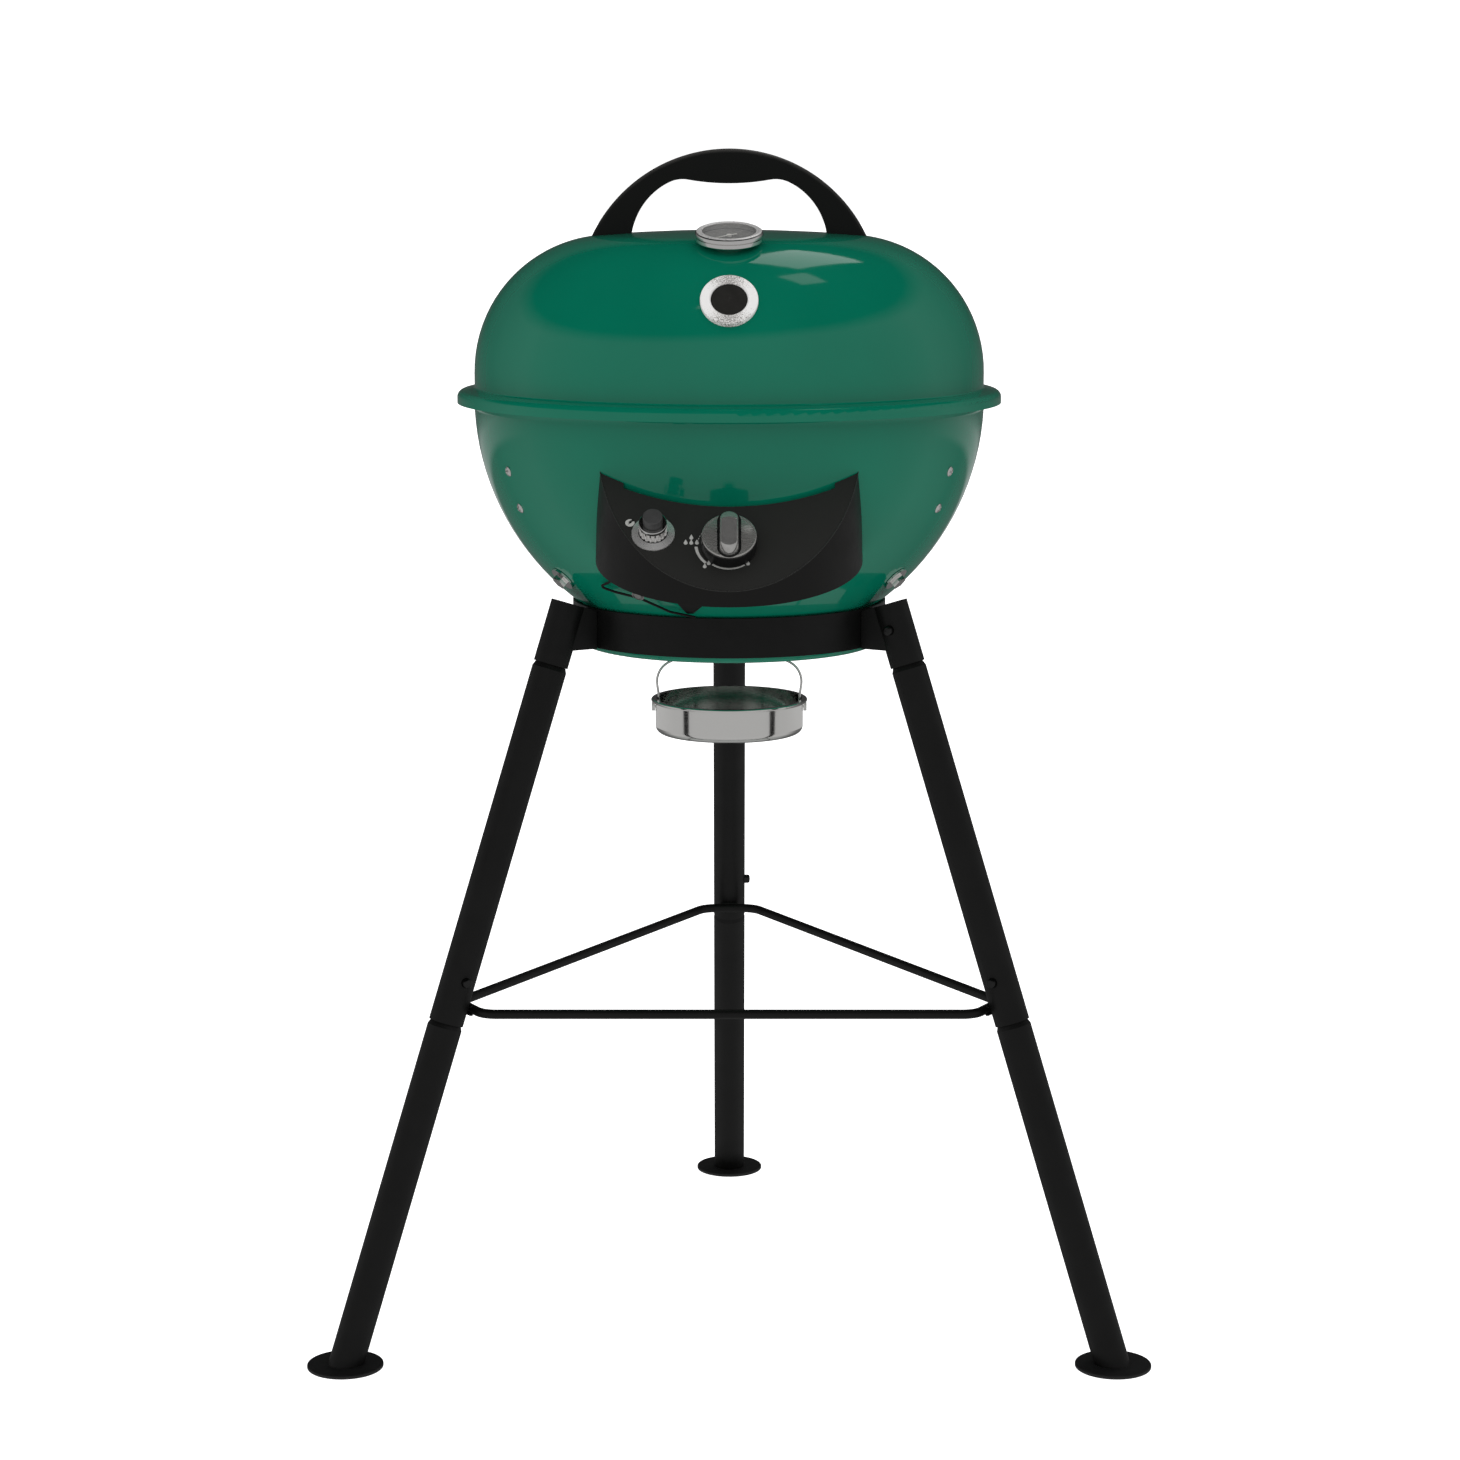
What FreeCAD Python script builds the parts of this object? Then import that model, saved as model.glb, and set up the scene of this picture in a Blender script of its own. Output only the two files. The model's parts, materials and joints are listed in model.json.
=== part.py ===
import FreeCAD, Part
import math
import os
import Sketcher

# Gas kettle grill on a three-legged stand. Millimetres and degrees.
# +Z is up, the controls face -Y, and the feet stand on Z = 0.
# The kettle, its lid and the drip pan turn about one vertical line, the kettle axis.

DIMENSIONS = {
    "kettle_axis_y": -65.4,
    # kettle
    "shell_wall": 1.5,
    "bowl_radius": 210.4,
    "bowl_centre_z": 774.7,
    "well_radius": 126.0,
    "well_floor_z": 569.5,
    "well_corner": 7.0,
    "drain_radius": 34.0,
    "rim_lip_radius": 222.3,
    "rim_top_z": 777.0,
    "rim_flange_z": 771.5,
    "rim_flange_bend": 6.0,
    "rim_lip_bend": 2.5,
    # lid
    "lid_wall_radius": 210.0,
    "lid_shoulder_z": 795.0,
    "lid_shoulder_radius": 112.0,
    "lid_crown_radius": 1400.0,
    "lid_flange_slope": 11.0,
    "lid_flange_top_z": 784.2,
    "lid_flange_bend": 1.5,
    "lid_lip_bend": 5.5,
    "lid_lip_radius": 224.3,
    "lid_lip_z": 770.8,
    # handle
    "handle_arch_radius": 125.0,
    "handle_arch_z": 851.6,
    "handle_corner_radius": 56.5,
    "handle_corner_x": 24.5,
    "handle_corner_z": 898.0,
    "handle_waist_x": 40.0,
    "handle_waist_z": 952.8,
    "handle_belly_radius": 192.6,
    "handle_waist_round": 25.0,
    "handle_depth": 27.0,
    "handle_round": 4.0,
    "handle_screw_x": 96.0,
    # thermometer and badge on the lid
    "thermometer_tilt": 15.0,
    "thermometer_radius": 26.8,
    "thermometer_glass_radius": 22.5,
    "thermometer_stem_radius": 3.2,
    "thermometer_stem_length": 62.0,
    "badge_tilt": 53.5,
    "badge_radius": 22.5,
    "badge_disc_radius": 14.2,
    # stand
    "leg_tilt": 18.92,
    "foot_circle": 360.7,
    "foot_radius": 31.0,
    "foot_thickness": 3.0,
    "tube_radius": 14.3,
    "tube_wall": 1.4,
    "spigot_radius": 12.6,
    "shoulder_length": 4.0,
    "brace_sleeve_start": 291.8,
    "brace_sleeve_end": 317.1,
    "brace_spigot_end": 345.0,
    "socket_start": 595.2,
    "socket_end": 647.0,
    "middle_button_at": 328.2,
    "top_button_at": 625.8,
    "button_radius": 3.9,
    "button_proud": 4.5,
    "brace_z": 285.0,
    "brace_rod_radius": 3.9,
    "brace_side_distance": 141.7,
    "brace_corner_distance": 243.7,
    "brace_bend_radius": 18.0,
    "ring_outer_radius": 130.4,
    "ring_inner_radius": 127.5,
    "ring_bottom_z": 575.0,
    "ring_top_z": 607.0,
    # control panel
    "panel_tilt": 45.5,
    "panel_cone_y": -155.0,
    "panel_top_radius": 102.8,
    "panel_bottom_radius": 106.2,
    "panel_wall": 2.5,
    "panel_foot_slope": 12.95,
    "panel_foot_z": 634.6,
    "panel_front_y": -258.0,
    "knob_y": -230.5,
    "knob_z": 676.6,
    "knob_radius": 21.3,
    "knob_height": 12.6,
    "igniter_x": -58.3,
    "igniter_y": -221.8,
    "igniter_z": 685.5,
    "igniter_plate_radius": 16.6,
    "igniter_button_radius": 7.6,
    # fire and cooking
    "burner_z": 652.0,
    "burner_circle": 52.0,
    "burner_half_width": 8.0,
    "venturi_radius": 10.0,
    "funnel_rim_radius": 183.0,
    "funnel_rim_z": 737.0,
    "funnel_spout_radius": 27.0,
    "funnel_throat_z": 678.0,
    "grid_radius": 200.0,
    "grid_rod_radius": 2.5,
    "grid_z": 757.5,
    "bracket_half_width": 10.0,
    # drip pan
    "pan_radius": 62.0,
    "pan_floor_z": 493.0,
    "pan_rim_z": 522.0,
    "pan_wall": 1.2,
    "pan_corner": 6.0,
    "pan_ear_z": 514.5,
    "bail_half_width": 59.0,
    "bail_shoulder_half_width": 62.4,
    "bail_shoulder_z": 546.5,
    "bail_top_z": 573.5,
    "bail_bend_radius": 18.5,
    "bail_wire_radius": 1.0,
    "bail_rivet_radius": 3.6,
}

doc = FreeCAD.newDocument("kettle_grill")
sheet = doc.addObject("Spreadsheet::Sheet", "Dims")
for row, (alias, number) in enumerate(DIMENSIONS.items(), start=1):
    sheet.set(f"A{row}", alias)
    sheet.set(f"B{row}", str(number))
    sheet.setAlias(f"B{row}", alias)
doc.recompute()


class Size:
    """A length or an angle: its value now, and the sheet expression that it follows."""

    def __init__(self, value, text=None):
        self.value = float(value)
        self.text = text or f"{self.value:.6f}"

    def __add__(self, other):
        other = as_size(other)
        return Size(self.value + other.value, f"({self.text} + {other.text})")

    def __sub__(self, other):
        other = as_size(other)
        return Size(self.value - other.value, f"({self.text} - {other.text})")

    def __mul__(self, other):
        other = as_size(other)
        return Size(self.value * other.value, f"({self.text} * {other.text})")

    def __truediv__(self, other):
        other = as_size(other)
        return Size(self.value / other.value, f"({self.text} / {other.text})")

    def __neg__(self):
        return Size(-self.value, f"(0 - {self.text})")

    __radd__ = __add__
    __rmul__ = __mul__

    def __rsub__(self, other):
        return as_size(other) - self


def as_size(number):
    return number if isinstance(number, Size) else Size(number)


def root(size):
    return Size(math.sqrt(size.value), f"sqrt({size.text})")


def sine(angle):
    return Size(math.sin(math.radians(angle.value)), f"sin({angle.text})")


def cosine(angle):
    return Size(math.cos(math.radians(angle.value)), f"cos({angle.text})")


class Sizes:
    """The sheet's cells as Size values: d.shell_wall follows Dims.shell_wall."""

    def __getattr__(self, alias):
        return Size(sheet.get(alias), f"Dims.{alias}")


d = Sizes()
nodes = []


# ---------------------------------------------------------------- helpers

def bind(thing, **sizes):
    for name, size in sizes.items():
        thing.setExpression(name, as_size(size).text)


def put(thing, at=(0, 0, 0), turn=(0, 0, 0)):
    """Place a piece: at is x, y, z and turn is yaw, pitch, roll, about Z, Y and X."""
    place = [as_size(size) for size in at]
    angles = [as_size(size).value for size in turn]
    thing.Placement = FreeCAD.Placement(
        FreeCAD.Vector(*[size.value for size in place]), FreeCAD.Rotation(*angles))
    for axis, size in zip("xyz", place):
        thing.setExpression(f"Placement.Base.{axis}", size.text)
    return thing


def node(thing, name, at=None, turn=(0, 0, 0)):
    """Make a piece one of the grill's sub-parts, placed from the kettle axis on the floor."""
    x, y, z = at or (0, 0, 0)
    put(thing, (x, d.kettle_axis_y + y, z), turn)
    thing.Label = name
    nodes.append(thing)
    return thing


def cylinder(name, radius, height, at=(0, 0, 0), turn=(0, 0, 0)):
    thing = doc.addObject("Part::Cylinder", name)
    bind(thing, Radius=radius, Height=height)
    return put(thing, at, turn)


def box(name, length, width, height, at=(0, 0, 0), turn=(0, 0, 0)):
    """A box centred on its place in X and Y, standing up from it in Z."""
    thing = doc.addObject("Part::Box", name)
    bind(thing, Length=length, Width=width, Height=height)
    spin = FreeCAD.Rotation(*[as_size(size).value for size in turn])
    half = FreeCAD.Vector(-as_size(length).value / 2, -as_size(width).value / 2, 0)
    corner = spin.multVec(half)
    shifted = [as_size(size) + Size(move) for size, move in zip(at, corner)]
    return put(thing, shifted, turn)


def sphere(name, radius, at=(0, 0, 0)):
    thing = doc.addObject("Part::Sphere", name)
    bind(thing, Radius=radius)
    return put(thing, at)


def cut(name, base, tool):
    thing = doc.addObject("Part::Cut", name)
    thing.Base = base
    thing.Tool = tool
    return thing


def fuse(name, *shapes):
    thing = doc.addObject("Part::MultiFuse", name)
    thing.Shapes = list(shapes)
    return thing


def common(name, *shapes):
    thing = doc.addObject("Part::MultiCommon", name)
    thing.Shapes = list(shapes)
    return thing


def group(name, *shapes):
    """Separate solids that share one node."""
    thing = doc.addObject("Part::Compound", name)
    thing.Links = list(shapes)
    return thing


def new_sketch(body, plane, name):
    flat = body.newObject("Sketcher::SketchObject", name)
    origin_plane = next(f for f in body.Origin.OriginFeatures if f.Role == plane)
    flat.AttachmentSupport = [(origin_plane, "")]
    flat.MapMode = "FlatFace"
    return flat


def cap_radius(half_width, rise):
    """The radius of a ball whose cap has that half width and rise."""
    return (half_width ** 2 + rise ** 2) / (2.0 * rise)


def arc_between(start, end, radius, turn):
    """The short arc from start to end; turn is left or right, seen along the way."""
    run = end - start
    side = 1 if turn == "left" else -1
    across = FreeCAD.Vector(-run.y, run.x, 0).normalize() * side
    reach = math.sqrt(max(radius ** 2 - (run.Length / 2) ** 2, 0))
    centre = (start + end) * 0.5 + across * reach
    ends = [start, end] if turn == "left" else [end, start]
    first, last = [math.atan2(point.y - centre.y, point.x - centre.x) for point in ends]
    circle = Part.Circle(centre, FreeCAD.Vector(0, 0, 1), radius)
    return Part.ArcOfCircle(circle, first, last)


def draw(flat, outline):
    """Draw a closed outline of points (x, y), or (x, y, radius, turn) where an arc arrives.

    An arc with no radius is a dome: it ends on the Y axis and has its centre there.
    """
    count = len(outline)
    places = [FreeCAD.Vector(as_size(p[0]).value, as_size(p[1]).value, 0) for p in outline]
    start_of = {}
    rules = []
    sizes = []
    for index in range(count):
        start, end = places[index], places[(index + 1) % count]
        arrival = outline[(index + 1) % count]
        bent = len(arrival) == 4
        if bent and arrival[2] is None:
            dome = arc_between(start, end, cap_radius(start.x, end.y - start.y), arrival[3])
            flat.addGeometry(dome, False)
            rules.append(Sketcher.Constraint("PointOnObject", index, 3, -2))
        elif bent:
            radius, turn = as_size(arrival[2]), arrival[3]
            flat.addGeometry(arc_between(start, end, radius.value, turn), False)
            sizes.append((len(rules), radius))
            rules.append(Sketcher.Constraint("Radius", index, radius.value))
        else:
            flat.addGeometry(Part.LineSegment(start, end), False)
        start_of[index] = 2 if bent and arrival[3] == "right" else 1
    for index in range(count):
        after = (index + 1) % count
        rules.append(Sketcher.Constraint(
            "Coincident", index, 3 - start_of[index], after, start_of[after]))
        for kind, line, size in zip(("DistanceX", "DistanceY"), (-2, -1), outline[index][:2]):
            size = as_size(size)
            if abs(size.value) < 1e-9:
                rules.append(Sketcher.Constraint("PointOnObject", index, start_of[index], line))
            else:
                sizes.append((len(rules), size))
                rules.append(Sketcher.Constraint(kind, -1, 1, index, start_of[index], size.value))
    flat.addConstraint(rules)
    for position, size in sizes:
        flat.setExpression(f"Constraints[{position}]", size.text)


def turned(name, outline):
    """A body of revolution about Z; the outline's points are (radius, height)."""
    body = doc.addObject("PartDesign::Body", name)
    flat = new_sketch(body, "XZ_Plane", name + "_outline")
    draw(flat, outline)
    feature = body.newObject("PartDesign::Revolution", name + "_turn")
    feature.Profile = flat
    feature.ReferenceAxis = (flat, ["V_Axis"])
    feature.Angle = 360.0
    return body


def extruded(name, plane, outline, length, both_ways=True):
    """A body padded from an outline on one of its origin planes."""
    body = doc.addObject("PartDesign::Body", name)
    flat = new_sketch(body, plane, name + "_outline")
    draw(flat, outline)
    feature = body.newObject("PartDesign::Pad", name + "_pad")
    feature.Profile = flat
    feature.SideType = "Symmetric" if both_ways else "One side"
    bind(feature, Length=length)
    return body


def round_edges(body, name, radius, chosen):
    """Fillet the edges of a body that the test chosen accepts."""
    doc.recompute()
    base = body.Tip
    edges = [f"Edge{index + 1}" for index, edge in enumerate(base.Shape.Edges) if chosen(edge)]
    feature = body.newObject("PartDesign::Fillet", name)
    feature.Base = (base, edges)
    bind(feature, Radius=radius)


def ring_of(body, feature, name, count):
    """Repeat a feature of a body evenly about Z."""
    pattern = body.newObject("PartDesign::PolarPattern", name)
    pattern.Originals = [feature]
    upright = next(f for f in body.Origin.OriginFeatures if f.Role == "Z_Axis")
    pattern.Axis = (upright, [""])
    pattern.Angle = 360.0
    pattern.Occurrences = count
    body.Tip = pattern
    return pattern


def hexagon(name, across_flats, height, at=(0, 0, 0), turn=(0, 0, 0)):
    thing = doc.addObject("Part::Prism", name)
    thing.Polygon = 6
    bind(thing, Circumradius=as_size(across_flats) / math.sqrt(3), Height=height)
    return put(thing, at, turn)


# ---------------------------------------------------------------- kettle shells

REAR, RIGHT, LEFT = 90.0, -30.0, 210.0
LEGS = {"left": LEFT, "right": RIGHT, "rear": REAR}


def on_bowl(azimuth, height, lift=0.0):
    """A place on the bowl's outside and the turn that points Z away from the bowl."""
    rise = (height - d.bowl_centre_z.value) / d.bowl_radius.value
    elevation = math.degrees(math.asin(rise))
    reach = d.bowl_radius.value + lift
    flat_reach = reach * math.cos(math.radians(elevation))
    at = (flat_reach * math.cos(math.radians(azimuth)),
          flat_reach * math.sin(math.radians(azimuth)),
          d.bowl_centre_z + reach * rise)
    return at, (azimuth, 90.0 - elevation, 0.0)


BRACKET_SCREW_HEIGHTS = (722.0, 692.0)
BOLT_HEIGHT = 633.0
PANEL_SCREW_AZIMUTHS = (-90.0 - 27.0, -90.0 + 27.0)
PANEL_SCREW_HEIGHT = 672.0
GUIDE_SCREW_AZIMUTH = -117.2
GUIDE_SCREW_HEIGHT = 631.2
BRACKET_SCREW_RADIUS = 1.9
BOLT_SHANK_RADIUS = 3.9
HOLE_CLEARANCE = 0.25


def bowl_holes():
    """Cylinders for every screw hole of the bowl and for the burner's tube."""
    holes = []
    for side, azimuth in LEGS.items():
        for number, height in enumerate(BRACKET_SCREW_HEIGHTS):
            at, turn = on_bowl(azimuth, height, -12.0)
            radius = BRACKET_SCREW_RADIUS + HOLE_CLEARANCE
            holes.append(cylinder(f"bracket_hole_{side}_{number}", radius, 24.0, at, turn))
        at, turn = on_bowl(azimuth, BOLT_HEIGHT, -12.0)
        radius = BOLT_SHANK_RADIUS + HOLE_CLEARANCE
        holes.append(cylinder(f"bolt_hole_{side}", radius, 24.0, at, turn))
    for number, azimuth in enumerate(PANEL_SCREW_AZIMUTHS):
        at, turn = on_bowl(azimuth, PANEL_SCREW_HEIGHT, -12.0)
        radius = BRACKET_SCREW_RADIUS + HOLE_CLEARANCE
        holes.append(cylinder(f"panel_screw_hole_{number}", radius, 15.0, at, turn))
    at, turn = on_bowl(GUIDE_SCREW_AZIMUTH, GUIDE_SCREW_HEIGHT, -12.0)
    holes.append(cylinder("guide_screw_hole", BRACKET_SCREW_RADIUS + HOLE_CLEARANCE, 15.0, at, turn))
    holes.append(cylinder("venturi_hole", d.venturi_radius + 1.0, 60.0,
                          (0, -200.0, d.burner_z), (0, 0, -90)))
    return holes


def kettle_bowl():
    wall = d.shell_wall
    step_z = d.bowl_centre_z - root(d.bowl_radius * d.bowl_radius - d.well_radius * d.well_radius)
    inner_radius = d.bowl_radius - wall
    inner_well = d.well_radius - wall
    inner_step_z = d.bowl_centre_z - root(inner_radius * inner_radius - inner_well * inner_well)
    top_z = d.rim_flange_z - d.rim_flange_bend
    drop = d.bowl_centre_z - top_z
    top_radius = root(d.bowl_radius * d.bowl_radius - drop * drop)
    inner_top = root(inner_radius * inner_radius - drop * drop)
    bend_end = top_radius + d.rim_flange_bend
    inside_bend = d.rim_flange_bend + (top_radius - inner_top)
    outline = [
        (d.drain_radius, d.well_floor_z),
        (d.well_radius - d.well_corner, d.well_floor_z),
        (d.well_radius, d.well_floor_z + d.well_corner, d.well_corner, "left"),
        (d.well_radius, step_z),
        (top_radius, top_z, d.bowl_radius, "left"),
        (bend_end, d.rim_flange_z, d.rim_flange_bend, "right"),
        (d.rim_lip_radius - d.rim_lip_bend, d.rim_flange_z),
        (d.rim_lip_radius, d.rim_flange_z + d.rim_lip_bend, d.rim_lip_bend, "left"),
        (d.rim_lip_radius, d.rim_top_z),
        (d.rim_lip_radius - wall, d.rim_top_z),
        (d.rim_lip_radius - wall, d.rim_flange_z + d.rim_lip_bend),
        (d.rim_lip_radius - d.rim_lip_bend, d.rim_flange_z + wall, d.rim_lip_bend - wall, "right"),
        (bend_end, top_z + inside_bend),
        (inner_top, top_z, inside_bend, "left"),
        (inner_well, inner_step_z, inner_radius, "right"),
        (inner_well, d.well_floor_z + d.well_corner),
        (d.well_radius - d.well_corner, d.well_floor_z + wall, d.well_corner - wall, "right"),
        (d.drain_radius, d.well_floor_z + wall),
    ]
    shell = turned("bowl_shell", outline)
    holes = fuse("bowl_holes", *bowl_holes())
    node(cut("bowl_cut", shell, holes), "kettle_bowl")


def lid_dome(depth):
    """The lid's crown and shoulder, depth inside its outer face: apex, tangent and wall points."""
    inset = d.lid_wall_radius - d.lid_shoulder_radius
    crown = d.lid_crown_radius
    spread = crown - d.lid_shoulder_radius
    crown_z = d.lid_shoulder_z - root(spread * spread - inset * inset)
    reach = crown - depth
    apex = (0, crown_z + reach)
    tangent = (inset * reach / spread, crown_z + (d.lid_shoulder_z - crown_z) * reach / spread)
    wall_point = (d.lid_wall_radius - depth, d.lid_shoulder_z)
    return apex, tangent, wall_point, reach, d.lid_shoulder_radius - depth


def lid_form(name):
    """The lid's outer form as a filled solid, which shapes what sits on the lid."""
    apex, tangent, wall_point, crown, shoulder = lid_dome(Size(0))
    return turned(name, [
        apex,
        (*tangent, crown, "right"),
        (*wall_point, shoulder, "right"),
        (d.lid_wall_radius, d.lid_flange_top_z),
        (0, d.lid_flange_top_z),
    ])


def lid_frame(tilt):
    """A place on the front of the lid's shoulder, and the turn that points Z away from the lid."""
    inset = d.lid_wall_radius - d.lid_shoulder_radius
    reach = inset + d.lid_shoulder_radius * sine(tilt)
    height = d.lid_shoulder_z + d.lid_shoulder_radius * cosine(tilt)
    return (0, -reach, height), (0, 0, tilt)


HANDLE_SCREW_RADIUS = 2.5
HANDLE_SCREW_LENGTH = 22.0
HANDLE_FOOT_Z = 903.0


def lid_shell():
    wall = d.shell_wall
    apex, tangent, wall_point, crown, shoulder = lid_dome(Size(0))
    in_apex, in_tangent, in_wall, in_crown, in_shoulder = lid_dome(wall)
    slope_sine, slope_cosine = sine(d.lid_flange_slope), cosine(d.lid_flange_slope)
    bend_x = d.lid_wall_radius + d.lid_flange_bend
    flange_x = bend_x - d.lid_flange_bend * slope_sine
    flange_z = d.lid_flange_top_z - d.lid_flange_bend * slope_cosine
    lip_x = d.lid_lip_radius - d.lid_lip_bend + d.lid_lip_bend * slope_sine
    lip_z = flange_z - (lip_x - flange_x) * slope_sine / slope_cosine
    lip_top = lip_z - d.lid_lip_bend * slope_cosine
    outline = [
        apex,
        (*tangent, crown, "right"),
        (*wall_point, shoulder, "right"),
        (d.lid_wall_radius, d.lid_flange_top_z),
        (flange_x, flange_z, d.lid_flange_bend, "left"),
        (lip_x, lip_z),
        (d.lid_lip_radius, lip_top, d.lid_lip_bend, "right"),
        (d.lid_lip_radius, d.lid_lip_z),
        (d.lid_lip_radius - wall, d.lid_lip_z),
        (d.lid_lip_radius - wall, lip_top),
        (lip_x - wall * slope_sine, lip_z - wall * slope_cosine, d.lid_lip_bend - wall, "left"),
        (flange_x - wall * slope_sine, flange_z - wall * slope_cosine),
        (d.lid_wall_radius - wall, d.lid_flange_top_z, d.lid_flange_bend + wall, "right"),
        in_wall,
        (*in_tangent, in_shoulder, "left"),
        (*in_apex, in_crown, "left"),
    ]
    shell = turned("lid_dome", outline)
    at, turn = lid_frame(d.thermometer_tilt)
    stem_hole = cylinder("stem_hole", d.thermometer_stem_radius + 0.3, 200.0,
                         (0, at[1] + 100.0 * math.sin(math.radians(turn[2].value)),
                          at[2] - 100.0 * math.cos(math.radians(turn[2].value))), turn)
    screw_holes = [
        cylinder(f"handle_hole_{side}", HANDLE_SCREW_RADIUS + HOLE_CLEARANCE, 40.0,
                 (x, 0, d.lid_shoulder_z + 90.0))
        for side, x in (("left", -d.handle_screw_x), ("right", d.handle_screw_x))]
    holes = fuse("lid_holes", stem_hole, *screw_holes)
    node(cut("lid_cut", shell, holes), "lid_shell")


def lid_handle():
    """A plastic arch across the lid; its feet are cut to the lid's curve."""
    foot_drop = HANDLE_FOOT_Z - d.handle_arch_z
    outer_x = root(d.handle_arch_radius * d.handle_arch_radius - foot_drop * foot_drop)
    corner_drop = HANDLE_FOOT_Z - d.handle_corner_z
    corner_reach = root(d.handle_corner_radius * d.handle_corner_radius
                        - corner_drop * corner_drop)
    inner_x = d.handle_corner_x + corner_reach
    waist_x, waist_z = d.handle_waist_x, d.handle_waist_z
    outline = [
        (-outer_x, HANDLE_FOOT_Z),
        (outer_x, HANDLE_FOOT_Z, d.handle_arch_radius, "right"),
        (inner_x, HANDLE_FOOT_Z),
        (waist_x, waist_z, d.handle_corner_radius, "left"),
        (-waist_x, waist_z, d.handle_belly_radius, "right"),
        (-inner_x, HANDLE_FOOT_Z, d.handle_corner_radius, "left"),
    ]
    arch = extruded("handle_arch", "XZ_Plane", outline, d.handle_depth)
    round_edges(arch, "handle_waists", d.handle_waist_round, lambda edge: (
        edge.BoundBox.XLength < 1.0
        and abs(edge.CenterOfMass.z - waist_z.value) < 0.1))
    round_edges(arch, "handle_soft_edges", d.handle_round, lambda edge: (
        edge.BoundBox.ZMax > 970.0 and edge.BoundBox.XLength > 150.0))
    bores = [
        cylinder(f"handle_bore_{side}", HANDLE_SCREW_RADIUS, HANDLE_SCREW_LENGTH,
                 (x, 0, HANDLE_FOOT_Z - 2.0))
        for side, x in (("left", -d.handle_screw_x), ("right", d.handle_screw_x))]
    tools = fuse("handle_tools", lid_form("handle_seat"), *bores)
    node(cut("handle_cut", arch, tools), "lid_handle")


def handle_screws():
    """Pan-head screws up through the lid into the handle's feet."""
    head_radius, head_height = 5.0, 3.0
    screws = []
    for side, x in (("left", -d.handle_screw_x), ("right", d.handle_screw_x)):
        shank = cylinder(f"handle_shank_{side}", HANDLE_SCREW_RADIUS - 0.05, 20.0,
                         (x, 0, HANDLE_FOOT_Z - 1.0))
        head = cylinder(f"handle_head_{side}", head_radius, head_height,
                        (x, 0, HANDLE_FOOT_Z - 1.0 - head_height + 0.1))
        screws.append(fuse(f"handle_screw_{side}", shank, head))
    node(group("handle_screw_pair", *screws), "handle_screws")


# ---------------------------------------------------------------- thermometer and badge

POINTER_BORE = 1.2
POINTER_REST = 213.0


def thermometer():
    """A dial thermometer square to the lid's shoulder. Heights count from the lid's face."""
    at, turn = lid_frame(d.thermometer_tilt)
    glass = d.thermometer_glass_radius
    outer = d.thermometer_radius
    dial_seat, glass_seat, lip_top = 5.0, 10.3, 11.0
    cup = turned("thermometer_cup", [
        (0, -4.0),
        (14.0, -4.0),
        (14.0, 2.6),
        (outer - 1.4, 2.6),
        (outer - 0.6, 3.4, 0.8, "left"),
        (outer - 0.6, 6.0),
        (outer - 2.5, 6.2),
        (outer - 2.5, 7.0),
        (outer, 7.3),
        (outer, lip_top - 2.4),
        (outer - 2.6, lip_top, 3.2, "left"),
        (glass - 1.2, lip_top - 0.5),
        (glass - 1.2, glass_seat),
        (glass + 0.3, glass_seat),
        (glass + 0.3, dial_seat),
        (POINTER_BORE, dial_seat),
        (POINTER_BORE, 2.0),
        (0, 2.0),
    ])
    seat = lid_form("thermometer_seat")
    turn_back = FreeCAD.Rotation(0, 0, -d.thermometer_tilt.value)
    place = FreeCAD.Vector(0, at[1].value, at[2].value)
    seat.Placement = FreeCAD.Placement(turn_back.multVec(-place), turn_back)
    stem = cylinder("thermometer_stem", d.thermometer_stem_radius,
                    d.thermometer_stem_length + 1.0, (0, 0, -d.thermometer_stem_length))
    node(fuse("thermometer_fuse", cut("thermometer_fitted", cup, seat), stem),
         "thermometer_case", at, turn)

    dial = turned("dial_plate", [
        (POINTER_BORE, dial_seat + 0.05),
        (glass + 0.1, dial_seat + 0.05),
        (glass + 0.1, dial_seat + 0.65),
        (POINTER_BORE, dial_seat + 0.65),
    ])
    node(dial, "thermometer_dial", at, turn)
    window = cylinder("glass_disc", glass + 0.1, 1.7)
    node(window, "thermometer_glass", window_place(at, turn, 8.5), turn)

    hub = cylinder("pointer_hub", 2.2, 1.4, (0, 0, 6.1))
    spindle = cylinder("pointer_spindle", POINTER_BORE - 0.3, 4.0, (0, 0, 2.4))
    needle = extruded("pointer_needle", "XY_Plane", [
        (-0.9, -7.0), (0.9, -7.0), (0.35, 18.0), (-0.35, 18.0)], 0.6)
    put(needle, (0, 0, 6.8), (POINTER_REST - 90.0, 0, 0))
    node(fuse("pointer_fuse", hub, spindle, needle), "thermometer_pointer", at, turn)

    nut_blank = hexagon("nut_blank", 16.0, 4.0, (0, 0, -6.2))
    nut_bore = cylinder("nut_bore", d.thermometer_stem_radius + 0.1, 6.0, (0, 0, -7.0))
    node(cut("nut_cut", nut_blank, nut_bore), "thermometer_nut", at, turn)


def window_place(at, turn, lift):
    """A place lifted along the tilted Z of a lid frame."""
    return (at[0], at[1] - lift * sine(as_size(turn[2])), at[2] + lift * cosine(as_size(turn[2])))


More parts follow.
